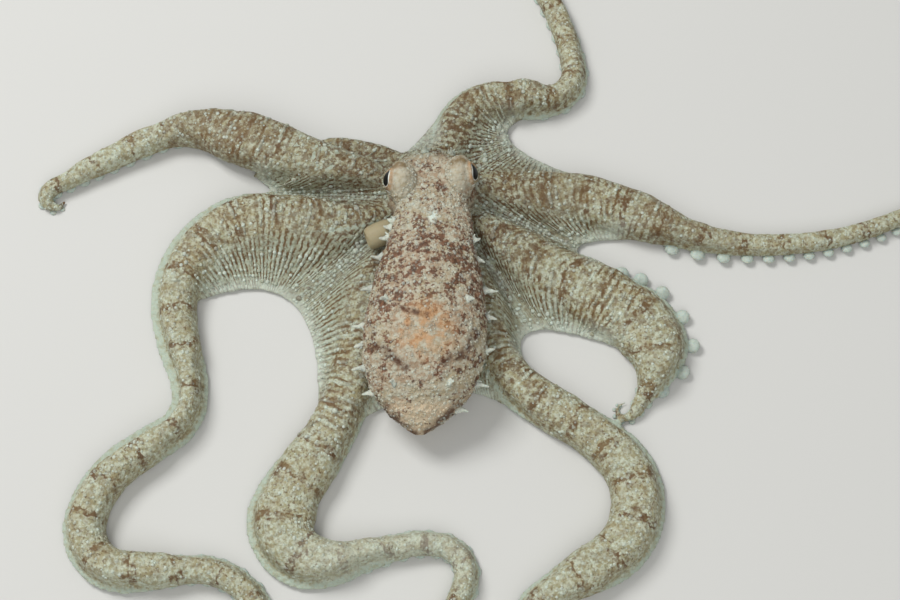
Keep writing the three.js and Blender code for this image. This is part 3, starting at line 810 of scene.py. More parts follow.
def hide_dye(name):
    """The octopus's own pattern, with painted shade at the mouth and painted light on the rear cap. Folds
    and warts carry it too, only paler.
    """
    dye = Dye(name)
    along, across, count = dye.attribute("lay")
    body, web, stroke = dye.attribute("place")
    dome, lid, pale = dye.attribute("eye")
    fine, middle, broad = dye.cloud(0.9, 3), dye.cloud(2.6, 3), dye.cloud(8)
    side = dye.sum("ABSOLUTE", across)
    mouth = dye.away((0, 0, 5))

    # arms and web: sand and cream, greyer on the web
    arm = dye.lay(SAND_SKIN, CREAM, dye.fade(dye.cloud(1.0, 3, 0.6), 0.38, 0.6))
    arm = dye.lay(arm, SAGE, dye.times(web, dye.fade(broad, 0.3, 0.7, 0.25, 0.7)))
    # brown in the grooves between the folds, broken up, and dying out along the arms
    wobble = dye.sum("MULTIPLY_ADD", dye.cloud(1.2, 2), 0.9, dye.sum("SUBTRACT", count, 0.45))
    groove = dye.fade(dye.sum("PINGPONG", wobble, 0.5), 0.2, 0.4)
    broken = dye.fade(dye.cloud(1.5, 3, 0.6), 0.38, 0.54, 0.15, 1.0)
    patch = dye.fade(dye.cloud(5), 0.42, 0.58, 0.3, 1.0)
    near = dye.sum("MAXIMUM", dye.times(dye.fade(along, 34, 62, 1.0, 0.12), patch), web)
    brown = dye.lay(UMBER, RUST, dye.fade(mouth, 14 * MM, 36 * MM))
    arm = dye.lay(arm, brown, dye.times(groove, broken, near))
    # ragged brown bars across the back of the arms
    wander = dye.sum("MULTIPLY_ADD", middle, 6.0, along)
    arm = dye.lay(arm, UMBER, dye.times(dye.fade(dye.sum("PINGPONG", wander, 4.6), 0.3, 1.2, 1.0, 0.0),
                                        dye.fade(side, 0.6, 0.85, 1.0, 0.0),
                                        dye.fade(dye.cloud(1.7, 3, 0.6), 0.38, 0.56),
                                        dye.fade(web, 0.1, 0.6, 0.95, 0.15)))
    # ochre clouds, rusty blotches and specks, and dark knots near the mouth
    arm = dye.lay(arm, OCHRE, dye.times(dye.fade(middle, 0.42, 0.62, 0.2, 0.6),
                                        dye.fade(broad, 0.35, 0.6, 0.3, 0.7),
                                        dye.fade(web, 0.1, 0.6, 1.0, 0.3)))
    arm = dye.lay(arm, RUST, dye.times(dye.fade(dye.cloud(1.9, 3, 0.65), 0.49, 0.62),
                                       dye.fade(web, 0.1, 0.7, 1.0, 0.3),
                                       dye.fade(along, 34, 70, 0.6, 0.28)))
    arm = dye.lay(arm, RUST, dye.times(dye.fade(dye.cloud(0.6, 2), 0.54, 0.68),
                                       dye.fade(broad, 0.35, 0.6, 0.3, 0.75)))
    arm = dye.lay(arm, UMBER, dye.times(dye.fade(dye.cloud(1.1, 3, 0.6), 0.5, 0.6),
                                        dye.fade(mouth, 16 * MM, 34 * MM, 0.9, 0.1)))
    # the pale brim, the browner stretches, the pale spots, and a painted shade round the mouth
    brim = dye.lay(BRIM_PALE, SAND_SKIN, dye.fade(dye.cloud(1.1, 3), 0.45, 0.7, 0.0, 0.6))
    ragged = dye.sum("MULTIPLY_ADD", fine, 0.16, side)
    arm = dye.lay(arm, brim, dye.times(dye.fade(ragged, 0.84, 0.94), dye.fade(web, 0.0, 0.3, 1, 0)))
    arm = dye.lay(arm, RUST, dye.times(stroke, dye.fade(dye.cloud(1.3, 3, 0.6), 0.34, 0.6)))
    arm = dye.lay(arm, WART, pale)
    # painted shade: strongest at the mouth and gone 48 mm out from it, over warts and all
    arm = dye.lay(arm, PAINTED_SHADE, dye.fade(mouth, 8 * MM, 48 * MM, 0.27, 0.0))

    # head and mantle: blush, dun and ivory, with a tan cap at the rear made lighter as painted light
    trunk = dye.lay(BLUSH, DUN, dye.fade(broad, 0.4, 0.6, 0.0, 0.8))
    trunk = dye.lay(trunk, IVORY, dye.fade(dye.cloud(1.1, 3, 0.6), 0.4, 0.62))
    x, y, _ = dye.node("SeparateXYZ", {0: dye.coords}, output="X").node.outputs
    rear = dye.fade(y, -50.5 * MM, -48.5 * MM, 1.0, 0.0)
    # the rear cap's tan, made lighter than its own colour as painted light
    trunk = dye.lay(trunk, CAP_TAN_AND_PAINTED_LIGHT, dye.times(rear, dye.fade(fine, 0.3, 0.6, 0.9, 0.5)))
    # liver-brown mottling, closer on the front half and the flanks and sparse on the eye domes
    front = dye.times(dye.fade(y, -36 * MM, -22 * MM), dye.fade(y, -14 * MM, -6 * MM, 1.0, 0.0))
    flank = dye.fade(dye.sum("ABSOLUTE", dye.sum("ADD", x, 0.8 * MM)), 5 * MM, 12 * MM, 0.0, 0.07)
    level = dye.sum("ADD", dye.fade(y, -36 * MM, -30 * MM, 0.612, 0.585), dye.times(rear, 0.05))
    level = dye.sum("SUBTRACT", level, dye.sum("MULTIPLY_ADD", front, 0.08, flank))
    spots = dye.sum("MULTIPLY_ADD", dye.sum("SUBTRACT", middle, 0.5), 0.85, dye.cloud(0.8, 4, 0.65))
    mottle = dye.fade(dye.sum("SUBTRACT", spots, level), -0.05, 0.08)
    mottle = dye.times(mottle, dye.fade(dome, 0, 0.6, 0.9, 0.12))
    trunk = dye.lay(trunk, dye.lay(LIVER, RUSSET, dye.fade(fine, 0.4, 0.6)), mottle)
    # an apricot patch on the back, pearly domes with an amber rim, dark strokes and pale spots
    centre = dye.fade(dye.away((-0.8, -35.5, 20)), 2.5 * MM, 9 * MM, 0.75, 0.0)
    trunk = dye.lay(trunk, APRICOT, dye.times(centre, dye.fade(middle, 0.36, 0.6)))
    trunk = dye.lay(trunk, PEARL, dye.times(dye.fade(dome, 0.2, 1), dye.fade(fine, 0.4, 0.62, 0.1, 0.55)))
    trunk = dye.lay(trunk, AMBER, dye.times(dye.fade(lid, 0.1, 0.9), dye.fade(fine, 0.36, 0.6, 0.15, 0.6)))
    line = dye.times(stroke, dye.fade(dye.cloud(1.6, 3), 0.36, 0.55, 0.35, 0.9))
    trunk = dye.lay(trunk, dye.lay(LIVER, OCHRE, dye.fade(dome, 0.1, 0.8, 0.0, 0.5)), line)
    trunk = dye.lay(trunk, WART, pale)
    colour = dye.lay(arm, trunk, body)
    return dye.finish(colour, 0.55, [(dye.cloud(0.4, 3), 0.16), (dye.cells(1.0), -0.2)], soft=0.12)


def settle(piece, material):
    """Brings a finished piece from mm to metres and gives it its material."""
    for polygon in piece.data.polygons:
        polygon.use_smooth = True
    piece.data.transform(Matrix.Scale(MM, 4))
    piece.data.materials.clear()
    piece.data.materials.append(material)
    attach(piece, "root")


hide = hide_dye("octopus skin")
settle(skin, hide)
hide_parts(*[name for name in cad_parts
                    if name.split("_")[0] in ("arm", "web", "head", "mantle")])

# ---------------------------------------------------------------- the folds
# The skin of the arms and the web is drawn up in soft folds along its fibres. They run over the
# back of each arm and down the web to its free edge, closer and finer towards the edge.
FOLD_STEP = 1.0
FOLD_SHARE = 0.72                       # width of a fold as a share of the space it has
FOLD_WIDTHS = (0.35, 1.25)
FOLD_HEIGHT = 0.22                      # share of its width
FOLD_LIMIT = 0.24
FOLD_SUNK = 0.15                        # its two feet are sunk into the skin by this
FOLD_FINEST = 0.5                       # where folds would lie closer, every second one ends
FOLD_TOLERANCE = 2.2                    # a fold ends where another arm lies over its own
FOLD_FADE = 16                          # mm beyond the web over which the folds die out
FOLD_FAINTEST = 0.2                     # a line whose folds would be weaker than this has none
UNWRAP_SPAN = (300, 80)                 # mm along and across an arm that its unwrapped strip holds
UNWRAP_LEAD = 12
FOLD_PATCH = 0.003                      # width of a fold on the unwrapped skin
FOLDS_END = 0.35                        # folds end where this much of the skin is head or mantle
SIDES = (("left", list(ARMS)[:4]), ("right", list(ARMS)[4:]))
# across the fold, as a share of its width, and how high
FOLD_SECTION = [(-0.5, None), (-0.3, 0.72), (0.0, 1.0), (0.3, 0.72), (0.5, None)]


def drape(points):
    """Drops points of the floor plan on to the skin. Gives place and normal; misses are NaN."""
    landed, normals = np.full((len(points), 3), np.nan), np.full((len(points), 3), np.nan)
    for i, (x, y) in enumerate(points.tolist()):
        place, normal, _, _ = skin_tree.ray_cast(Vector((x, y, 30)), Vector((0, 0, -1)))
        if place is not None:
            landed[i], normals[i] = place, normal
    return landed, normals


def expected_height(name):
    """Height of the skin along the fibre lines of an arm, before the parts were fused."""
    course, lay = LINE_COURSES[name], LAYS[name]
    crest = (arm_height(ARMS[name], course) + arm_lift(ARMS[name], course))[:, None]
    out = np.clip(np.abs(lay.offset) / lay.half, 0, 0.98)
    back = crest * (1 - out ** BACK_ROUNDNESS) ** (1 / BACK_ROUNDNESS)
    return np.maximum(back, lay.web * (WEB_EDGE + (WEB_TOP - WEB_EDGE)
                      * (1 - smooth_step(np.linalg.norm(lay.lines, axis=-1), *WEB_SLOPE))))


def web_reach(name):
    """How far the web runs along an arm on its longer side."""
    return max(web["reach"][web["arms"].index(name)] for web in WEBS if name in web["arms"])


def unwrap_arm(name, along, across):
    """Places on the unwrapped skin, where each arm has a strip of its own."""
    strip = list(ARMS).index(name) + 0.5
    return np.stack([(along + UNWRAP_LEAD) / UNWRAP_SPAN[0],
                     (strip + across / UNWRAP_SPAN[1]) / len(ARMS)], axis=1)


def runs_of(wanted):
    """Start and end of each unbroken run of at least three wanted points."""
    edges = np.flatnonzero(np.diff(np.concatenate([[0], wanted.astype(int), [0]])))
    return [(start, end) for start, end in zip(edges[::2], edges[1::2]) if end - start >= 3]


def unit(rows):
    """Directions brought to a length of 1."""
    return rows / np.maximum(np.linalg.norm(rows, axis=-1, keepdims=True), 1e-9)


def fold_runs(name):
    """Yields every fold of an arm: its points on the skin, their normals, widths and places on
    the unwrapped skin, and its strength."""
    lay, heights = LAYS[name], expected_height(name)
    reach = web_reach(name)
    for i, line in enumerate(lay.lines):
        strength = 1 - smooth_step(lay.along[i, 0], reach - 4, reach + FOLD_FADE)
        if strength < FOLD_FAINTEST:
            continue
        steps = np.linalg.norm(np.diff(line, axis=0), axis=1)
        run = np.concatenate([[0], np.cumsum(steps)])
        at = np.linspace(0, run[-1], max(4, round(run[-1] / FOLD_STEP)))
        plan = np.stack([np.interp(at, run, line[:, 0]), np.interp(at, run, line[:, 1])], axis=1)
        spacing = np.interp(at, run, lay.spacing[i])
        level = 2 ** np.ceil(np.log2(np.maximum(FOLD_FINEST / spacing, 1)))
        landed, normals = drape(plan)
        high = np.interp(at, run, heights[i])
        wanted = (i % level == 0) & (np.abs(landed[:, 2] - high) < FOLD_TOLERANCE)
        wanted[wanted] &= body_share(landed[wanted]) < FOLDS_END
        # folds are broken here and there, more so on the back and where they die out
        gaps = np.array([noise.noise(Vector((*point, i * 3.7)) / 2.0) for point in plan.tolist()])
        back = 1 - smooth_step(np.abs(at - run[LINE_PARTS]) / lay.half[i, 0], 0.5, 1.1)
        wanted &= gaps > 0.36 * back - 0.05 - 0.25 * strength
        width = np.clip(FOLD_SHARE * spacing * level, *FOLD_WIDTHS)
        unwrapped = unwrap_arm(name, np.full(len(at), lay.along[i, 0]), at - run[LINE_PARTS])
        for start, end in runs_of(wanted):
            part = slice(start, end)
            smooth = normals[part].copy()
            smooth[1:-1] += normals[part][:-2] + normals[part][2:]
            yield landed[part], unit(smooth), width[part], unwrapped[part], strength


def fold_rows(points, normals, width, strength):
    """The closed section of a fold at each of its points, uneven like beads on a string."""
    beads = np.array([noise.noise(Vector(point) / 1.1) for point in points.tolist()])
    taper = np.minimum(1, 0.35 + 0.45 * np.minimum(np.arange(len(points)), np.arange(len(points))[::-1]))
    width = width * (1 + 0.3 * beads) * taper
    height = np.minimum(width * FOLD_HEIGHT, FOLD_LIMIT) * strength * (1 + 0.9 * beads)
    across = unit(np.cross(np.gradient(points, axis=0), normals))
    rows = []
    for side, rise in FOLD_SECTION:
        lift = np.broadcast_to(-FOLD_SUNK if rise is None else rise * height, width.shape)
        rows.append(points + across * (side * width)[:, None] + normals * lift[:, None])
    return np.stack(rows, axis=1)


# the warts of the next section ride on the folds, so their roots are chosen here
WART_SPACING = (1.4, 2.8)
WART_RADII = (0.28, 0.52)
FOLDS_PALE = 0.22
chance = np.random.default_rng(11)
wart_roots = []                         # place, normal, radius, place on the unwrapped skin
for side, names in SIDES:
    folds = bmesh.new()
    fold_map = []
    for name in names:
        for points, normals, width, unwrapped, strength in fold_runs(name):
            weave(folds, fold_rows(points, normals, width, strength), ring=True)
            spread = (np.array([share for share, _ in FOLD_SECTION]) * FOLD_PATCH)[None, :, None] * (1, 0)
            fold_map.append((unwrapped[:, None] + spread).reshape(-1, 2))
            at = chance.uniform(0, 1.5)
            while at < (len(points) - 1) * FOLD_STEP:
                i = int(at / FOLD_STEP)
                wart_roots.append((*points[i], *normals[i], chance.uniform(*WART_RADII), *unwrapped[i]))
                at += chance.uniform(*WART_SPACING)
    bmesh.ops.recalc_face_normals(folds, faces=folds.faces)
    folds = finished(folds, "folds_" + side)
    mark_skin(folds.data, pale=FOLDS_PALE)
    map_places(folds.data, np.concatenate(fold_map))
    settle(folds, hide)

# ---------------------------------------------------------------- the warts
# Low pale warts of skin ride on the folds. Finer grains roughen the arms where their folds die
# out, and all of the head and the mantle. Each one is a small dome with its foot sunk in.
WART_SIDES = 6
WART_PROFILE = [(1.0, -0.35), (0.9, 0.14), (0.48, 0.36)]
WART_RAISED = 0.12                      # the warts stand this far up the fold
WART_BIG = (0.05, 1.5)                  # share of warts that are larger, and by how much
WART_PATCH = 0.0015                     # size of a wart on the unwrapped skin
ARM_GRAINS = 0.62                       # grains for each square mm of the outer arms
ARM_GRAINS_IN_WEB = 0.6                 # share of them along the web
ARM_GRAINS_END = 0.3                    # they end where this much of the skin is head or mantle
ARM_GRAIN_RADII = (0.18, 0.46)
GRAINS = 3800                           # on the head and the mantle
GRAINS_ON_HEAD = 0.32                   # share of them on the head
GRAIN_RADII = (0.18, 0.42)
GRAIN_TALL = 1.3
GRAIN_CLEAR = 1.9                       # no grain lies nearer to an eye: 1 is the rim of its lids


def turned(profile, sides):
    """Rows of points of a round shape from its profile of radius and height."""
    angles = np.linspace(0, 2 * math.pi, sides, endpoint=False)
    return np.array([[(r * math.cos(a), r * math.sin(a), z) for a in angles] for r, z in profile])


def many(name, rows, count):
    """One mesh of many copies of a small round shape, all of them still at the origin."""
    mesh = bmesh.new()
    weave(mesh, rows, ring=True)
    bmesh.ops.recalc_face_normals(mesh, faces=mesh.faces)
    return shaped(finished(mesh, name), "ARRAY", count=count, use_relative_offset=False)


def set_out(piece, count, roots, normals, sizes):
    """Moves every copy to its root, upright along its normal. Gives its own flat shape."""
    shape = places(piece.data).reshape(count, -1, 3)
    side = unit(np.cross(normals, (0.3, 0.9, 0.1)))
    frames = np.stack([side, np.cross(normals, side), normals], axis=1)
    points = roots[:, None] + np.einsum("nvi,nij->nvj", shape * sizes[:, None], frames)
    piece.data.vertices.foreach_set("co", points.astype(np.float32).ravel())
    piece.data.update()
    return shape


def mark_copies(piece, count, roots, pale, middle, shape):
    """Gives each copy the colour of the skin at its root, and a small patch of the unwrap."""
    each = shape.shape[1]
    marks = marks_at(roots)
    marks["eye"][:, 2] = pale
    for name, values in marks.items():
        give(piece.data, name, np.repeat(values, each, axis=0))
    map_places(piece.data, (middle[:, None] + WART_PATCH * shape[..., :2]).reshape(-1, 2))


def scatter_warts(name, roots, normals, radii, pale, middle, tall=1.0):
    """Makes one piece of many warts, each at its root, of its radius and its paleness."""
    piece = many(name, turned(WART_PROFILE, WART_SIDES), len(roots))
    sizes = np.stack([radii, radii * chance.uniform(0.8, 1.2, len(radii)), radii * tall], axis=1)
    shape = set_out(piece, len(roots), roots, normals, sizes)
    mark_copies(piece, len(roots), roots, pale, middle, shape)
    settle(piece, hide)


def arm_grains(name):
    """Roots of the grains that roughen an arm, most where its folds have died out."""
    arm, course = ARMS[name], COURSES[name]
    brims = brim_widths(arm, course)
    reach = web_reach(name)
    area = course.width.mean() * course.along[-1]
    along = chance.uniform(0, course.along[-1], int(area * ARM_GRAINS))
    share = ARM_GRAINS_IN_WEB + (1 - ARM_GRAINS_IN_WEB) * smooth_step(along, reach - 14, reach + 8)
    along = along[chance.uniform(size=len(along)) < share]
    x, y, heading, width, left, right = (np.interp(along, course.along, row) for row in (
        course.x, course.y, course.heading, course.width, *brims))
    across = chance.uniform(-0.97, 0.97, len(along))
    across *= width / 2 - np.where(across > 0, left, right)
    plan = np.stack([x - np.sin(heading) * across, y + np.cos(heading) * across], axis=1)
    landed, normals = drape(plan)
    crest = np.interp(along, course.along, arm_height(arm, course) + arm_lift(arm, course))
    kept = (landed[:, 2] < crest + 1) & (landed[:, 2] > 0.35 * crest)
    kept[kept] &= body_share(landed[kept]) < ARM_GRAINS_END
    radii = chance.uniform(*ARM_GRAIN_RADII, len(along)) * np.minimum(1, 0.45 + width / 18)
    return np.column_stack([landed, normals, radii, unwrap_arm(name, along, across)])[kept]


warts = np.array(wart_roots)
warts[:, :3] += warts[:, 3:6] * WART_RAISED
big = chance.uniform(size=len(warts)) < WART_BIG[0]
warts[big, 6] *= WART_BIG[1]
for part, names in SIDES:
    half = warts[(warts[:, 0] < CROWN.x) == (part == "left")]
    outer = np.concatenate([arm_grains(name) for name in names])
    for name, roots in (("warts_" + part, half), ("grains_" + part, outer)):
        pale = chance.uniform(0.1, 0.75, len(roots))
        if roots is outer:
            pale = pale ** 1.5
        scatter_warts(name, roots[:, :3], roots[:, 3:6], roots[:, 6], pale, roots[:, 7:9])

# grains lie on the mantle by its length and the turn round it, and on the head in rings
share = chance.uniform(-0.12, 0.98, GRAINS)
turn = chance.uniform(-0.35, math.pi + 0.35, GRAINS)
wanted = mantle_surface(share, turn)
near_head = chance.uniform(size=GRAINS) < GRAINS_ON_HEAD
spin, rise = chance.uniform(0, 2 * math.pi, GRAINS), chance.uniform(0.15, 1, GRAINS)
dome = np.stack([np.cos(spin) * np.sqrt(1 - rise ** 2), np.sin(spin) * np.sqrt(1 - rise ** 2), rise], axis=1)
wanted[near_head] = (np.array(HEAD) + dome * HEAD_RADII * 1.2)[near_head]
roots, normals, unwrapped = [], [], []
for i, point in enumerate(wanted.tolist()):
    place, normal, _, _ = skin_tree.find_nearest(Vector(point))
    if all(eye_measure(eye, np.array([place]))[1][0] > GRAIN_CLEAR
           or (place - eye["ball"]).length > LID_REACH for eye in EYES.values()):
        roots.append(place)
        normals.append(normal)
        unwrapped.append((0.03 + 0.9 * (spin[i] if near_head[i] else turn[i] + 1) / (2 * math.pi),
                          0.8 + 0.15 * rise[i] if near_head[i] else 0.1 + 0.6 * share[i]))
roots, normals = np.array(roots), np.array(normals)
scatter_warts("grains_body", roots, normals, chance.uniform(*GRAIN_RADII, len(roots)),
              chance.uniform(0.0, 0.65, len(roots)) ** 2, np.array(unwrapped), tall=GRAIN_TALL)

# ---------------------------------------------------------------- the papillae
# Soft pointed flaps of skin, pale and a little ragged: a row along each flank of the mantle, a
# few on its back and two over the front of the head.
PAPILLA_PROFILE = [(1.2, -0.5), (0.8, 0.1), (0.52, 0.32), (0.42, 0.55), (0.32, 0.78), (0.19, 0.95),
                   (0.04, 1.0)]
PAPILLA_FLATNESS = 0.6
PAPILLA_SIDES = 10
PAPILLA_RAGGED = 0.38
PAPILLAE_PALE = 0.62
SIDE_TIP = 0.45                         # each has a smaller tip beside it, of this share of its size
# share of the mantle's length, turn round it in degrees (0 is the right flank), length in mm
FLANK_PAPILLAE = [
    (0.02, 158, 1.5), (0.05, 165, 1.7), (0.10, 170, 2.0), (0.19, 175, 2.6), (0.34, 180, 2.6),
    (0.52, 178, 2.6), (0.60, 182, 2.0), (0.71, 176, 2.8), (0.82, 178, 2.2),
    (0.11, 8, 1.6), (0.20, 4, 1.8), (0.35, 2, 3.2), (0.47, 0, 2.4), (0.63, 2, 2.0),
    (0.78, 2, 2.8), (0.89, 4, 2.4),
    (0.43, 132, 2.0), (0.43, 46, 2.0), (0.80, 58, 1.4), (0.80, 122, 1.4),
]
# place, direction, length
HEAD_PAPILLAE = [((-1.0, 8.2, 12.2), (-0.1, 0.5, 1.0), 2.0), ((4.9, 8.6, 12.0), (0.2, 0.5, 1.0), 2.0)]


def raise_papilla(mesh, root, direction, length, wide=1.0):
    """A flared, flattened cone with an uneven edge and a bent tip."""
    direction = Vector(direction).normalized()
    level = direction.cross((0, 0, 1)).normalized()
    up = level.cross(direction)
    rows = turned(PAPILLA_PROFILE, PAPILLA_SIDES)
    bend = chance.uniform(-0.5, 0.5)
    ragged = 1 + PAPILLA_RAGGED * chance.uniform(-1, 1, rows.shape[:2])
    across = rows[..., 0] * ragged * wide + bend * rows[..., 2] ** 2
    over = rows[..., 1] * ragged * PAPILLA_FLATNESS * wide
    out = np.where(rows[..., 2] > 0, rows[..., 2] * length, rows[..., 2])
    points = (np.array(root) + across[..., None] * np.array(level) + over[..., None] * np.array(up)
              + out[..., None] * np.array(direction))
    weave(mesh, points, ring=True)


papillae = bmesh.new()
for share, turn, length in FLANK_PAPILLAE:
    turn = math.radians(turn)
    root = skin_tree.find_nearest(Vector(mantle_surface(share, turn)))[0]
    out = (math.cos(turn), -0.12, max(0.1, math.sin(turn)))
    raise_papilla(papillae, root, out, length)
    aside = Vector((out[0] * 0.9, chance.uniform(-1, 1), out[2] + 0.2))
    beside = root + Vector((0, chance.uniform(-0.8, 0.8), 0.1))
    raise_papilla(papillae, beside, aside, length * SIDE_TIP, SIDE_TIP)
for place, lean, length in HEAD_PAPILLAE:
    root = skin_tree.find_nearest(Vector(place))[0]
    raise_papilla(papillae, root, lean, length, 0.9)
    for turn in chance.uniform(0, 2 * math.pi, 3):
        aside = Vector(lean) + Vector((math.cos(turn), math.sin(turn), 0.2))
        beside = root + Vector((math.cos(turn), math.sin(turn), 0)) * 0.6
        raise_papilla(papillae, beside, aside, length * 0.5, 0.5)
bmesh.ops.recalc_face_normals(papillae, faces=papillae.faces)
papillae = finished(papillae, "papillae")
mark_skin(papillae.data, pale=PAPILLAE_PALE)
settle(papillae, hide)

# ---------------------------------------------------------------- the eyes
# Wet balls that look out sideways, silvery with a black bar of a pupil. A soft lid closes round
# each, thickest above, with an orange-brown rim.
PUPIL = (0.64, 0.37)                    # half length and half height, as shares of the radius
PUPIL_CORNERS = 2.6                     # exponent that squares its ends
PUPIL_BLACK = (3, 3, 4)
IRIS_SILVER = (226, 230, 222)
IRIS_DARK = (70, 58, 46)
LID_TURNS = 44
LID_BROW = 0.5                          # the lid is this much thicker above
LID_BLEND = (1.26, 1.66)                # over this stretch the lid runs out into the skin
# how far out from the gaze (1 is the rim of the lid) and the height over the ball, or over the
# skin where the lid has run out into it
LID_PROFILE = [(0.95, -0.2), (0.97, 0.08), (1.03, 0.26), (1.12, 0.34), (1.26, 0.3), (1.45, 0.16),
               (1.7, 0.1), (1.95, -0.25), (1.4, -0.7), (1.05, -0.6)]


def eye_dye():
    """Silver with fine dark flecks round a black bar, under a thin wet coat."""
    dye = Dye("wet eye")
    fore, up, out = dye.attribute("gaze")
    long, high = [dye.sum("POWER", dye.sum("ABSOLUTE", dye.sum("DIVIDE", way, half)), PUPIL_CORNERS)
                  for way, half in zip((fore, up), PUPIL)]
    pupil = dye.fade(dye.sum("ADD", long, high), 0.85, 1.1, 1.0, 0.0)
    pupil = dye.times(pupil, dye.fade(out, 0.0, 0.1))
    iris = dye.lay(IRIS_SILVER, IRIS_DARK, dye.fade(dye.cloud(0.35, 3), 0.5, 0.75, 0.0, 0.6))
    colour = dye.lay(iris, PUPIL_BLACK, pupil)
    dye.surface.inputs["Coat Weight"].default_value = 0.08
    dye.surface.inputs["Coat Roughness"].default_value = 0.08
    dye.surface.inputs["Coat IOR"].default_value = 1.25
    return dye.finish(colour, 0.3, [(dye.cloud(0.4), 0.01)])


wet = eye_dye()
for side, eye in EYES.items():
    ball = bmesh.new()
    swell(ball, eye["ball"], [EYE_RADIUS] * 3)
    ball = finished(ball, "eyeball_" + side)
    away = (places(ball.data) - np.array(eye["ball"])) / EYE_RADIUS
    give(ball.data, "gaze", away @ eye_frame(eye).T)
    settle(ball, wet)
    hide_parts("eye_" + side)

    fore, up, out = eye_frame(eye)
    rows = []
    for turn in np.linspace(0, 2 * math.pi, LID_TURNS + 1):
        opening = 1 / math.hypot(math.cos(turn) / EYE_OPENING[0], math.sin(turn) / EYE_OPENING[1])
        brow = 1 + LID_BROW * max(0, math.sin(turn))
        row = []
        for share, height in LID_PROFILE:
            angle = share * opening
            way = out * math.cos(angle) + (fore * math.cos(turn) + up * math.sin(turn)) * math.sin(angle)
            reach = EYE_RADIUS + height * (brow if height > 0 else 1)
            if share > LID_BLEND[0] and height > -0.5:
                skin_hit = skin_tree.ray_cast(eye["ball"], Vector(way), 8)[3]
                blend = min(1, (share - LID_BLEND[0]) / (LID_BLEND[1] - LID_BLEND[0]))
                reach = (1 - blend) * reach + blend * ((skin_hit or reach) + height)
            row.append(np.array(eye["ball"]) + way * reach)
        rows.append(row)
    lid = bmesh.new()
    weave(lid, np.array(rows), ring=True)
    bmesh.ops.recalc_face_normals(lid, faces=lid.faces)
    lid = shaped(finished(lid, "lid_" + side), "SUBSURF", levels=1, render_levels=1)
    mark_skin(lid.data)
    settle(lid, hide)

# ---------------------------------------------------------------- the funnel
# A short soft tube of smooth tan skin that stands out beside the neck. The animal breathes out
# through it and swims by its jet. It is turned round its own axis, and sags a little at the lip.
FUNNEL = (Vector((-8.8, -9.7, 9.9)), Vector((-13.8, -11.7, 9.9)))
# distance along the tube and radius, from the root over the lip and back down the bore
FUNNEL_PROFILE = [(-1.5, 2.6), (0.5, 2.8), (2.2, 2.85), (3.8, 2.7), (4.7, 2.5), (5.1, 2.2),
                  (5.25, 1.8), (5.1, 1.45), (4.4, 1.2), (3.2, 1.05)]
FUNNEL_SIDES = 24
FUNNEL_FLATNESS = 0.86
FUNNEL_SAG = 0.012
FUNNEL_TAN = (158, 148, 118)
FUNNEL_SHADE = (146, 134, 106)

way = (FUNNEL[1] - FUNNEL[0]).normalized()
aside = way.cross((0, 0, 1)).normalized()
rows = []
for along, radius in FUNNEL_PROFILE:
    ring = turned([(radius, 0)], FUNNEL_SIDES)[0]
    sag = FUNNEL_SAG * max(0, along) ** 2
    rows.append([FUNNEL[0] + way * along + aside * x + Vector((0, 0, y * FUNNEL_FLATNESS - sag))
                 for x, y, _ in ring])
tube = bmesh.new()
weave(tube, np.array(rows), ring=True)
bmesh.ops.recalc_face_normals(tube, faces=tube.faces)
tube = shaped(finished(tube, "soft_funnel"), "SUBSURF", levels=1, render_levels=1)
tan = Dye("funnel skin")
colour = tan.lay(FUNNEL_TAN, FUNNEL_SHADE, tan.fade(tan.cloud(1.4, 3), 0.45, 0.75, 0.0, 0.6))
settle(tube, tan.finish(colour, 0.5, [(tan.cloud(0.3, 3), 0.04)], soft=0.15))
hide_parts("funnel")

# ---------------------------------------------------------------- the suckers
# Two rows of round cups under every arm, in turn left and right. They show as pale scallops
# where the brim of a bend lifts them out from under the arm.
SUCKER_SHARE = 0.48                     # diameter as a share of the arm's width
SUCKER_LARGEST = 3.4
SUCKER_SMALLEST = 0.5
SUCKER_PITCH = 0.6                      # steps along the arm, in diameters; a slack arm has more
SUCKER_OFFSET = 0.24                    # from the middle line, in widths
SUCKER_TILT = 24                        # degrees outwards where they stand out from an edge
SUCKER_INSET = 0.08                     # how far they lie in from that edge, in diameters
BROAD_BRIM = 1                          # a brim wider than this hides its suckers
SUCKER_PROFILE = [(0.6, -0.3), (0.88, -0.06), (1.0, 0.14), (1.0, 0.28), (0.8, 0.34), (0.45, 0.2),
                  (0.15, 0.14)]
SUCKER_SIDES = 10
SUCKER_FIRST = 6.0                      # distance of the first cup from the root of the arm
SUCKER_PALE = (182, 194, 184)
SUCKER_DEEP = (162, 172, 162)

cups = []
for arm in ARMS.values():
    course = walk(arm, 0.5)
    lift = arm_lift(arm, course)
    start, end, brim_side, membrane = arm.get("brim", (0, 0, 0, 0))
    along, side = SUCKER_FIRST, 1
    while along < course.along[-1] - 1:
        x, y, heading, width, height = (np.interp(along, course.along, row) for row in
                                        (course.x, course.y, course.heading, course.width, lift))
        diameter = max(SUCKER_SMALLEST, min(SUCKER_LARGEST, SUCKER_SHARE * width))
        bent = 0.0                      # 1 where the cup stands out from the edge
        if side == brim_side and membrane < BROAD_BRIM:
            bent = float(smooth_step(along, start, start + 6) * (1 - smooth_step(along, end - 8, end)))
        edge = width / 2 - SUCKER_INSET * diameter
        offset = side * ((1 - bent) * width * SUCKER_OFFSET + bent * edge)
        left_way = np.array([-math.sin(heading), math.cos(heading), 0])
        tilt = math.radians(SUCKER_TILT) * bent
        down = side * left_way * math.sin(tilt) - np.array([0, 0, math.cos(tilt)])
        radius = diameter / 2
        low = 0.4 * radius * math.cos(tilt) + radius * math.sin(tilt)
        place = np.array([x, y, height + low]) + left_way * offset
        cups.append((*place, *down, radius))
        along += arm.get("spread", SUCKER_PITCH) * diameter
        side = -side
cups = np.array(cups)
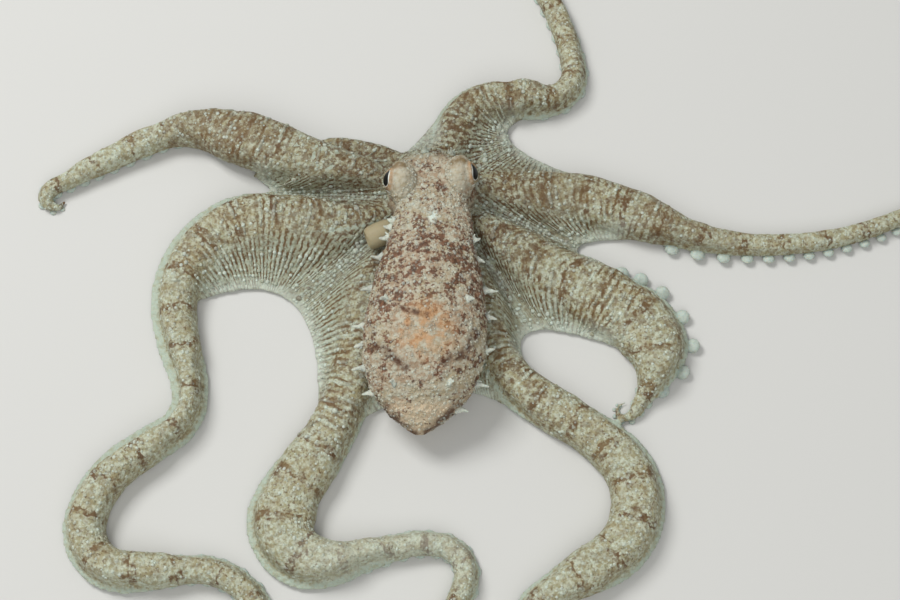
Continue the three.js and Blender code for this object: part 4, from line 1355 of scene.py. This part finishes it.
suckers = many("suckers", turned(SUCKER_PROFILE, SUCKER_SIDES), len(cups))
set_out(suckers, len(cups), cups[:, :3], cups[:, 3:6], np.repeat(cups[:, 6:], 3, axis=1))
pearl = Dye("sucker skin")
colour = pearl.lay(SUCKER_PALE, SUCKER_DEEP, pearl.fade(pearl.cloud(0.8, 3), 0.45, 0.7, 0.0, 0.7))
settle(suckers, pearl.finish(colour, 0.4, [(pearl.cloud(0.25, 3), 0.04)], soft=0.3))

# ---------------------------------------------------------------- floor, light and camera
# The animal lies on a pale matt floor. A soft box stands over its front on the left, and a
# weaker lamp behind it fills the shadows. The camera looks down on it from behind.
FLOOR_PALE = (206, 206, 202)
FLOOR_HALF = 2.0                        # half the side of the floor, in metres
ground = bmesh.new()
bmesh.ops.create_grid(ground, x_segments=1, y_segments=1, size=FLOOR_HALF)
ground = finished(ground, "floor")
matt = Dye("floor")
matt.surface.inputs["Base Color"].default_value = tint(FLOOR_PALE)
matt.surface.inputs["Roughness"].default_value = 0.9
ground.data.materials.append(matt.material)
ground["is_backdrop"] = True

CAMERA_ELEVATION = 70                   # degrees above the floor
CAMERA_DISTANCE = 0.4675
CAMERA_AIM = Vector((0.00447, -0.0221, 0))
camera_data = bpy.data.cameras.new("camera")
camera_data.lens = 85
camera_data.sensor_width = 36
camera = bpy.data.objects.new("camera", camera_data)
tilt = math.radians(90 - CAMERA_ELEVATION)
camera.location = CAMERA_AIM + CAMERA_DISTANCE * Vector((0, -math.sin(tilt), math.cos(tilt)))
camera.rotation_euler = (tilt, 0, 0)
bpy.context.scene.collection.objects.link(camera)
bpy.context.scene.camera = camera

ROOM_LIGHT = 0.35                       # strength of the even white light of the room
LAMPS = [
    dict(name="soft box", place=(-0.45, 0.35, 0.75), size=0.35, watts=6.2),
    dict(name="fill", place=(0.05, -0.5, 0.7), size=0.7, watts=2.6),
]
for lamp in LAMPS:
    data = bpy.data.lights.new(lamp["name"], "AREA")
    data.size = lamp["size"]
    data.energy = lamp["watts"]
    light = bpy.data.objects.new(lamp["name"], data)
    light.location = lamp["place"]
    light.rotation_euler = (-Vector(lamp["place"])).to_track_quat("-Z", "Y").to_euler()
    bpy.context.scene.collection.objects.link(light)
world = bpy.data.worlds.new("studio")
world.use_nodes = True
air = world.node_tree.nodes["Background"].inputs
air["Color"].default_value = (1, 1, 1, 1)
air["Strength"].default_value = ROOM_LIGHT
bpy.context.scene.world = world
bpy.context.scene.view_settings.view_transform = "Standard"

low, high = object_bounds()
